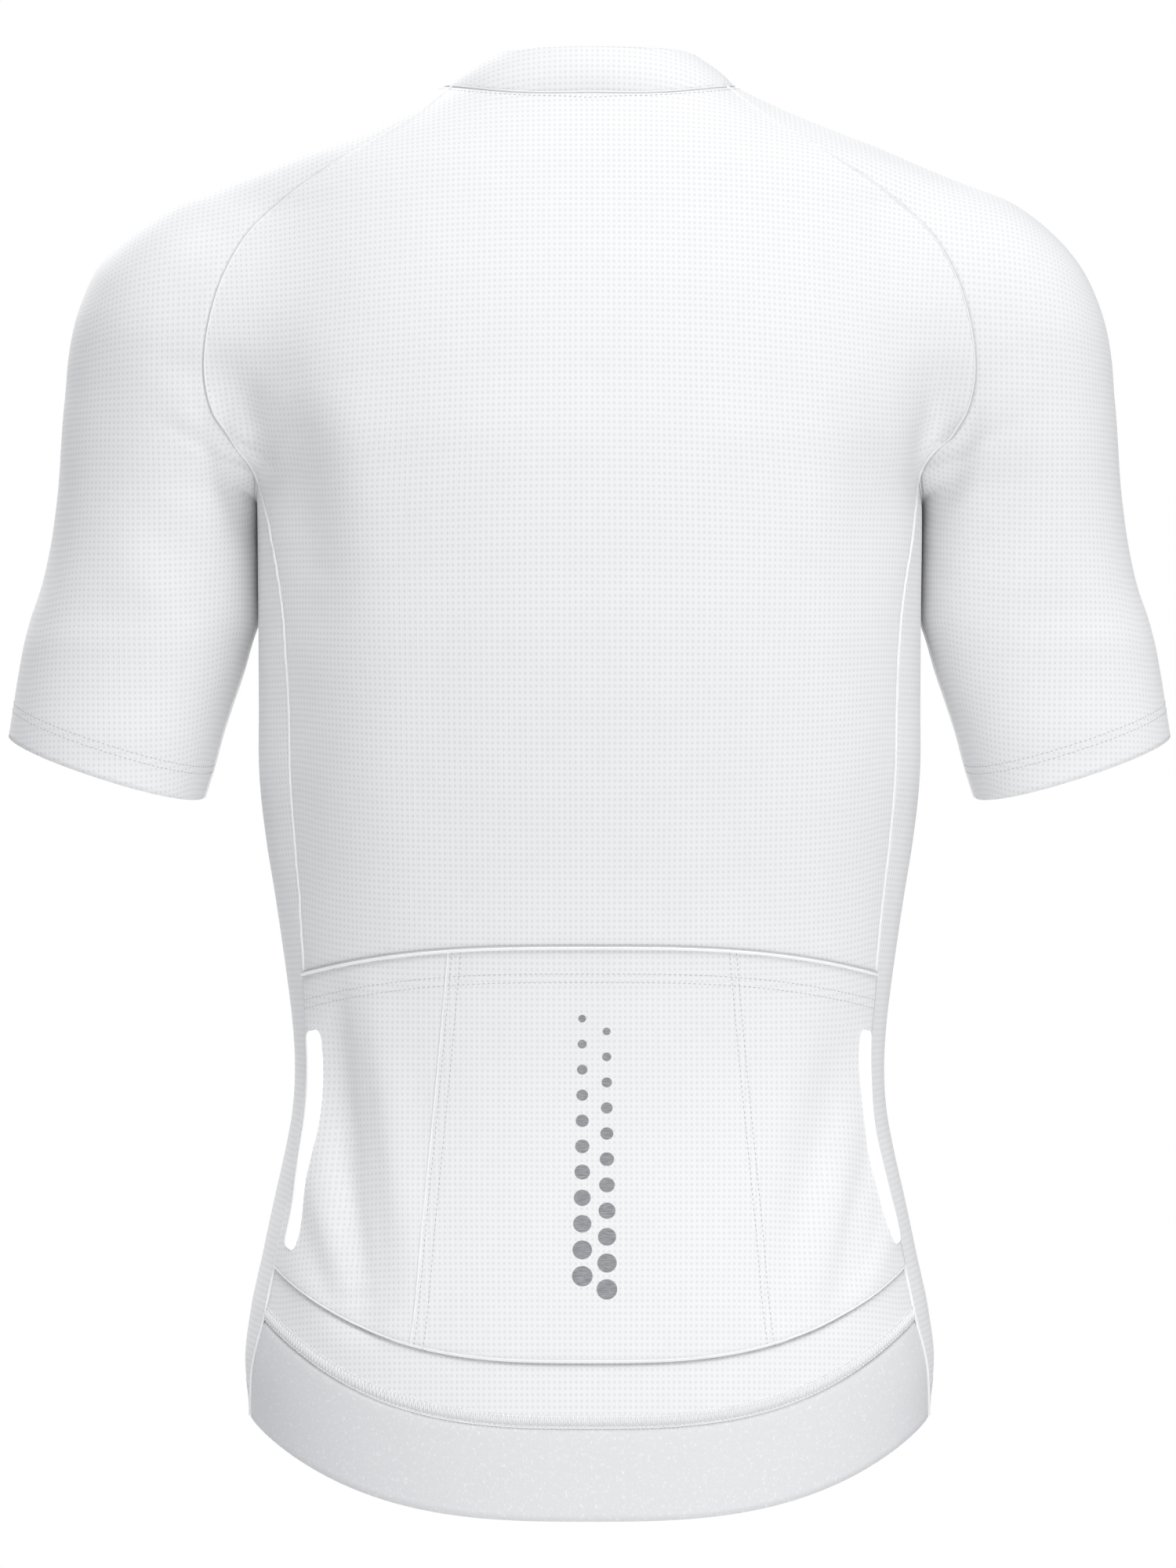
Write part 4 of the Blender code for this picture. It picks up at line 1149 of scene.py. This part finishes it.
# Below the shoulder the sleeve is drawn on to the form: the skin's above the armhole's corner, the arm's
# below it.
below = np.clip((SLEEVE_DRAWN[0] - sleeve[..., 2:]) / (SLEEVE_DRAWN[0] - SLEEVE_DRAWN[1]), 0, 1)
row, column = np.indices(sleeve.shape[:2])[..., None]
arm_share = np.clip((row - corner) / ROW_STEPS + 1, 0, 1)
inward = np.clip(np.minimum(column, column.max() - column) / SLEEVE_EDGE_COLUMNS, 0, 1)
below = below * np.maximum(inward**2, np.clip((row - closed) / ROW_STEPS, 0, 1))
sleeve = on_form(sleeve, skin, below) * (1 - arm_share) + on_form(sleeve, arm, below) * arm_share
sleeve_out = square_to(sleeve)

seams, painted_shadow_lines, stitches = bmesh.new(), bmesh.new(), bmesh.new()
for hand, turn in HANDS:
    # Each seam's two panels share one line, the back's or the front's.
    flip = np.array((turn, 1, 1))
    own_sleeve_out, own_side_out, own_front_out = sleeve_out * flip, side_out * flip, front_out * flip
    back_column = -1 if turn > 0 else 0
    back_line, back_line_out = back[:, back_column], back_out[:, back_column]
    own_front = sunk(front * flip, own_front_out, FRONT_CREASES)
    own_sleeve = sunk(sleeve * flip, own_sleeve_out, SLEEVE_CREASES)
    settled = np.r_[: corner + 1, closed : len(sleeve)]
    closing = (own_sleeve[closed:, 0] + own_sleeve[closed:, -1]) / 2
    for edge, line in zip(SIDE_EDGES, (back_line, own_front[:, 0])):
        old = from_edge(own_sleeve, edge)[0]
        shift = np.concatenate([line[: corner + 1], closing]) - old[settled]
        own_sleeve = pinned(own_sleeve, edge, old + points_at(np.arange(len(old)), settled, shift))
    own_side = pinned(side * flip, "first_column", back_line[corner:])
    own_side = pinned(own_side, "last_column", own_front[corner:, 0])
    armpit = np.concatenate([own_sleeve[corner : closed + 1, 0], own_sleeve[corner:closed, -1][::-1]])
    own_side = pinned(own_side, "first_row", armpit, 2 * ROW_STEPS)

    sewn_panel(f"side_panel_{hand}", own_side, own_side_out, 1, "first_row", *SIDE_EDGES)
    sewn_panel(f"front_{hand}", own_front, own_front_out, -1, "first_row", "first_column")
    sewn_panel(f"sleeve_{hand}", own_sleeve, own_sleeve_out, 0, "first_row", *SIDE_EDGES)

    for rows in (slice(corner + 1), slice(corner, None)):  # above the armhole's corner, and below
        seam(back_line[rows], back_line_out[rows], -turn)
        seam(own_front[rows, 0], own_front_out[rows, 0], turn)
    seam(own_side[0], own_side_out[0], turn)
    seam(own_sleeve[closed:, 0], own_sleeve_out[closed:, 0], turn)
    stitch_beside(own_sleeve, "last_row", CUFF_STITCHES, arm)
    stitch_beside(own_side, "last_row", HEM_STITCHES, torso)
    stitch_beside(own_front, "last_row", HEM_STITCHES, torso)
    stitch_beside(own_front, "last_column", ZIP_STITCHES, torso)
    stitch_beside(own_sleeve, "first_row", NECK_STITCHES, skin)
    stitch_beside(own_front, "first_row", NECK_STITCHES, skin)

collar = fine(collar_points(), COLLAR_COLUMN_STEPS)
collar_out = unit(np.cross(np.gradient(collar, axis=0), np.gradient(collar, axis=1)))
sewn_panel("collar", collar, collar_out, 1, "first_row", wall=COLLAR_CLOTH)

stitch_beside(back, "first_row", NECK_STITCHES, skin)
seam(collar[0], collar_out[0], 1)
seam(pocket[0], back_out[pocket_top], -1, *POCKET_EDGE)
ridge(seams, pocket[-1] + (0, 0, POCKET_FOOT_UP), back_out[foot], *POCKET_FOOT)
stitch_beside(pocket, "first_row", POCKET_STITCHES, torso)
for from_x, to_x, welted in POCKET_DIVIDERS:
    places = np.linspace(from_x, to_x, len(pocket))
    line = np.array([points_at(x, row[:, 0], row) for x, row in zip(places, pocket)])
    if welted:
        seam(line, outward(line, torso), -1, *WELT)
    else:
        stitch(line, torso)

# The gripper's coverstitch: looper threads to and fro over a narrow grey strip, painted shade between the
# loops, between two lines of stitches.
loops, strip = bmesh.new(), bmesh.new()
band = back[foot : band_foot + 1]
low, high = (offset_line(band, "last_row", up) for up in COVER_UP)
middle = offset_line(band, "last_row", COVER_SHADE_UP)
ridge(strip, middle, outward(middle, torso), *COVER_SHADE_STRIP, PAINTED_SHADE_SIDES)
zigzag(loops, low, high, torso, *LOOP)
for line in (low, high):
    here, along = spaced(line, COVER_PITCH)
    strokes(loops, here, along, outward(here, torso), *COVER_STITCH)
add_piece("hem_coverstitch", loops, thread)
add_piece("hem_coverstitch_painted_shade", strip, cover_shade_grey)
add_piece("seam_ridges", seams, thread)
add_piece("seam_painted_shadow_lines", painted_shadow_lines, seam_shadow_grey)
add_piece("stitch_rows", stitches, stitch_shade_thread)

# The zip: tapes behind the fronts' edges, and two rows of coil teeth between them.
line = np.concatenate([front[::-1, -1], collar[1:, -1]])
line[:, 0] = 0
run = np.gradient(line, axis=0)
zip_out = unit(np.stack([np.zeros(len(run)), -run[:, 2], run[:, 1]], 1))
for hand, turn in HANDS:
    across = np.linspace(TAPE_NEAR, TAPE_FAR, TAPE_COLUMNS) * turn
    tape_points = (line - zip_out * TAPE_DEPTH)[:, None] + across[None, :, None] * ACROSS
    tape_out = np.broadcast_to(zip_out[:, None], tape_points.shape)
    cloth_shell(f"zip_tape_{hand}", tape_points, tape_out, None, tape, TAPE_CLOTH)
teeth = bmesh.new()
here, along = spaced(line - zip_out * TEETH_DEPTH, TOOTH_PITCH)
sideways = np.where(np.arange(len(here)) % 2, 1.0, -1.0)[:, None] * ACROSS
strokes(teeth, here + sideways * TOOTH_OFF_CENTRE, sideways, unit(np.cross(along, ACROSS)), *TOOTH)
add_piece("zip_teeth", teeth, coil)
for node in ("zip_slider", "zip_pull"):
    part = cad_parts[node]
    part.data.materials.clear()
    part.data.materials.append(metal)

# Reflective tabs with rounded ends lie on the pocket panel beside its side seams; their film's brightness
# is partly a painted glow.
stretch = slice(TAB_FIRST_ROW * ROW_STEPS, TAB_LAST_ROW * ROW_STEPS + 1)
for (hand, turn), edge, lean in zip(HANDS, SIDE_EDGES[::-1], TAB_LEANS):
    lines = from_edge(pocket, edge)[:, stretch]
    run = runs(lines[0])
    at = run[-1] * (1 - np.cos(np.linspace(0, math.pi, TAB_ROWS))) / 2
    end_share = np.clip(np.minimum(at, run[-1] - at) / TAB_ROUNDING, 0, 1)
    half = TAB_WIDTH / 2 * (TAB_END_WIDTH + (1 - TAB_END_WIDTH) * np.sqrt(1 - (1 - end_share) ** 2))
    rows = np.stack([points_at(at, run, line) for line in lines], 1)
    # The tab's own side is a smooth curve beside the seam.
    own_x = rows[:, 0, 0]
    middle = TAB_FROM_SEAM + TAB_WIDTH / 2 + (own_x - np.polyval(np.polyfit(at, own_x, 2), at)) * turn
    middle = middle + lean * at / run[-1]
    places = middle[:, None] + half[:, None] * np.linspace(-1, 1, TAB_COLUMNS)
    grid = np.array([points_at(place, runs(row), row) for place, row in zip(places, rows)])
    lift = points_at(at, run, from_edge(back_out[pocket_top:], edge)[0][stretch])
    lift = np.broadcast_to(lift[:, None], grid.shape)
    raised = grid + lift * TAB_RISE
    cloth_shell(f"reflective_tab_{hand}", raised, lift, None, film, FILM, "film")


DISTANCE = 3.1
FILM_WIDTH = 36
SEEN_WIDTH = 0.75
camera_data = bpy.data.cameras.new("camera")
camera_data.sensor_width = FILM_WIDTH
camera_data.lens = FILM_WIDTH * DISTANCE / SEEN_WIDTH
camera = placed("camera", camera_data, (0.75 * MM, DISTANCE, -0.333))
camera.rotation_euler = (math.radians(90), 0, math.radians(180))
bpy.context.scene.camera = camera

bpy.ops.mesh.primitive_circle_add(vertices=96, radius=2.3, fill_type="NGON", location=(0, 0, -1.3))
floor = bpy.context.object
floor.name = "floor"
floor.data.materials.append(grained("pale floor", (0.86, 0.86, 0.87), 0.8, 4, 0))

AIM = Vector((0, 0, -0.3))
for name, place, size, power, colour in (
    ("high back", (-0.5, 1.9, 2.8), 1.4, 27, (1.0, 0.995, 0.985)),
    ("top", (0, 1.0, 3.0), 1.6, 53, (1.0, 1.0, 0.99)),
    ("low right", (-1.6, 2.0, -0.9), 1.4, 12, (1.0, 1.0, 0.99)),
    ("low", (0, 2.4, -1.1), 1.4, 20, (1.0, 1.0, 1.0)),
    ("left rim", (2.6, -0.3, 0.6), 1.6, 8, (0.96, 0.98, 1.0)),
    ("right rim", (-2.6, -0.3, 0.6), 1.6, 11, (0.98, 0.99, 1.0)),
    ("front key", (1.3, -2.4, 1.6), 1.6, 60, (1.0, 0.99, 0.98)),
):
    soft = bpy.data.lights.new(name, "AREA")
    soft.shape = "DISK"
    soft.size = size
    soft.energy = power
    soft.color = colour
    lamp = placed(name, soft, place)
    lamp.rotation_euler = (AIM - lamp.location).to_track_quat("-Z", "Y").to_euler()

world = bpy.data.worlds.new("studio")
bpy.context.scene.world = world
world.use_nodes = True
tree = world.node_tree
tree.nodes.clear()
ambient = wire(tree, "Background", Color=(0.94, 0.96, 1.0), Strength=0.3)
seen = wire(tree, "Background", Color=(1, 1, 1), Strength=1)
path = wire(tree, "LightPath", output="Is Camera Ray")
wire(tree, "OutputWorld", Surface=wire(tree, "MixShader", path, ambient, seen))
bpy.context.scene.view_settings.view_transform = "Standard"
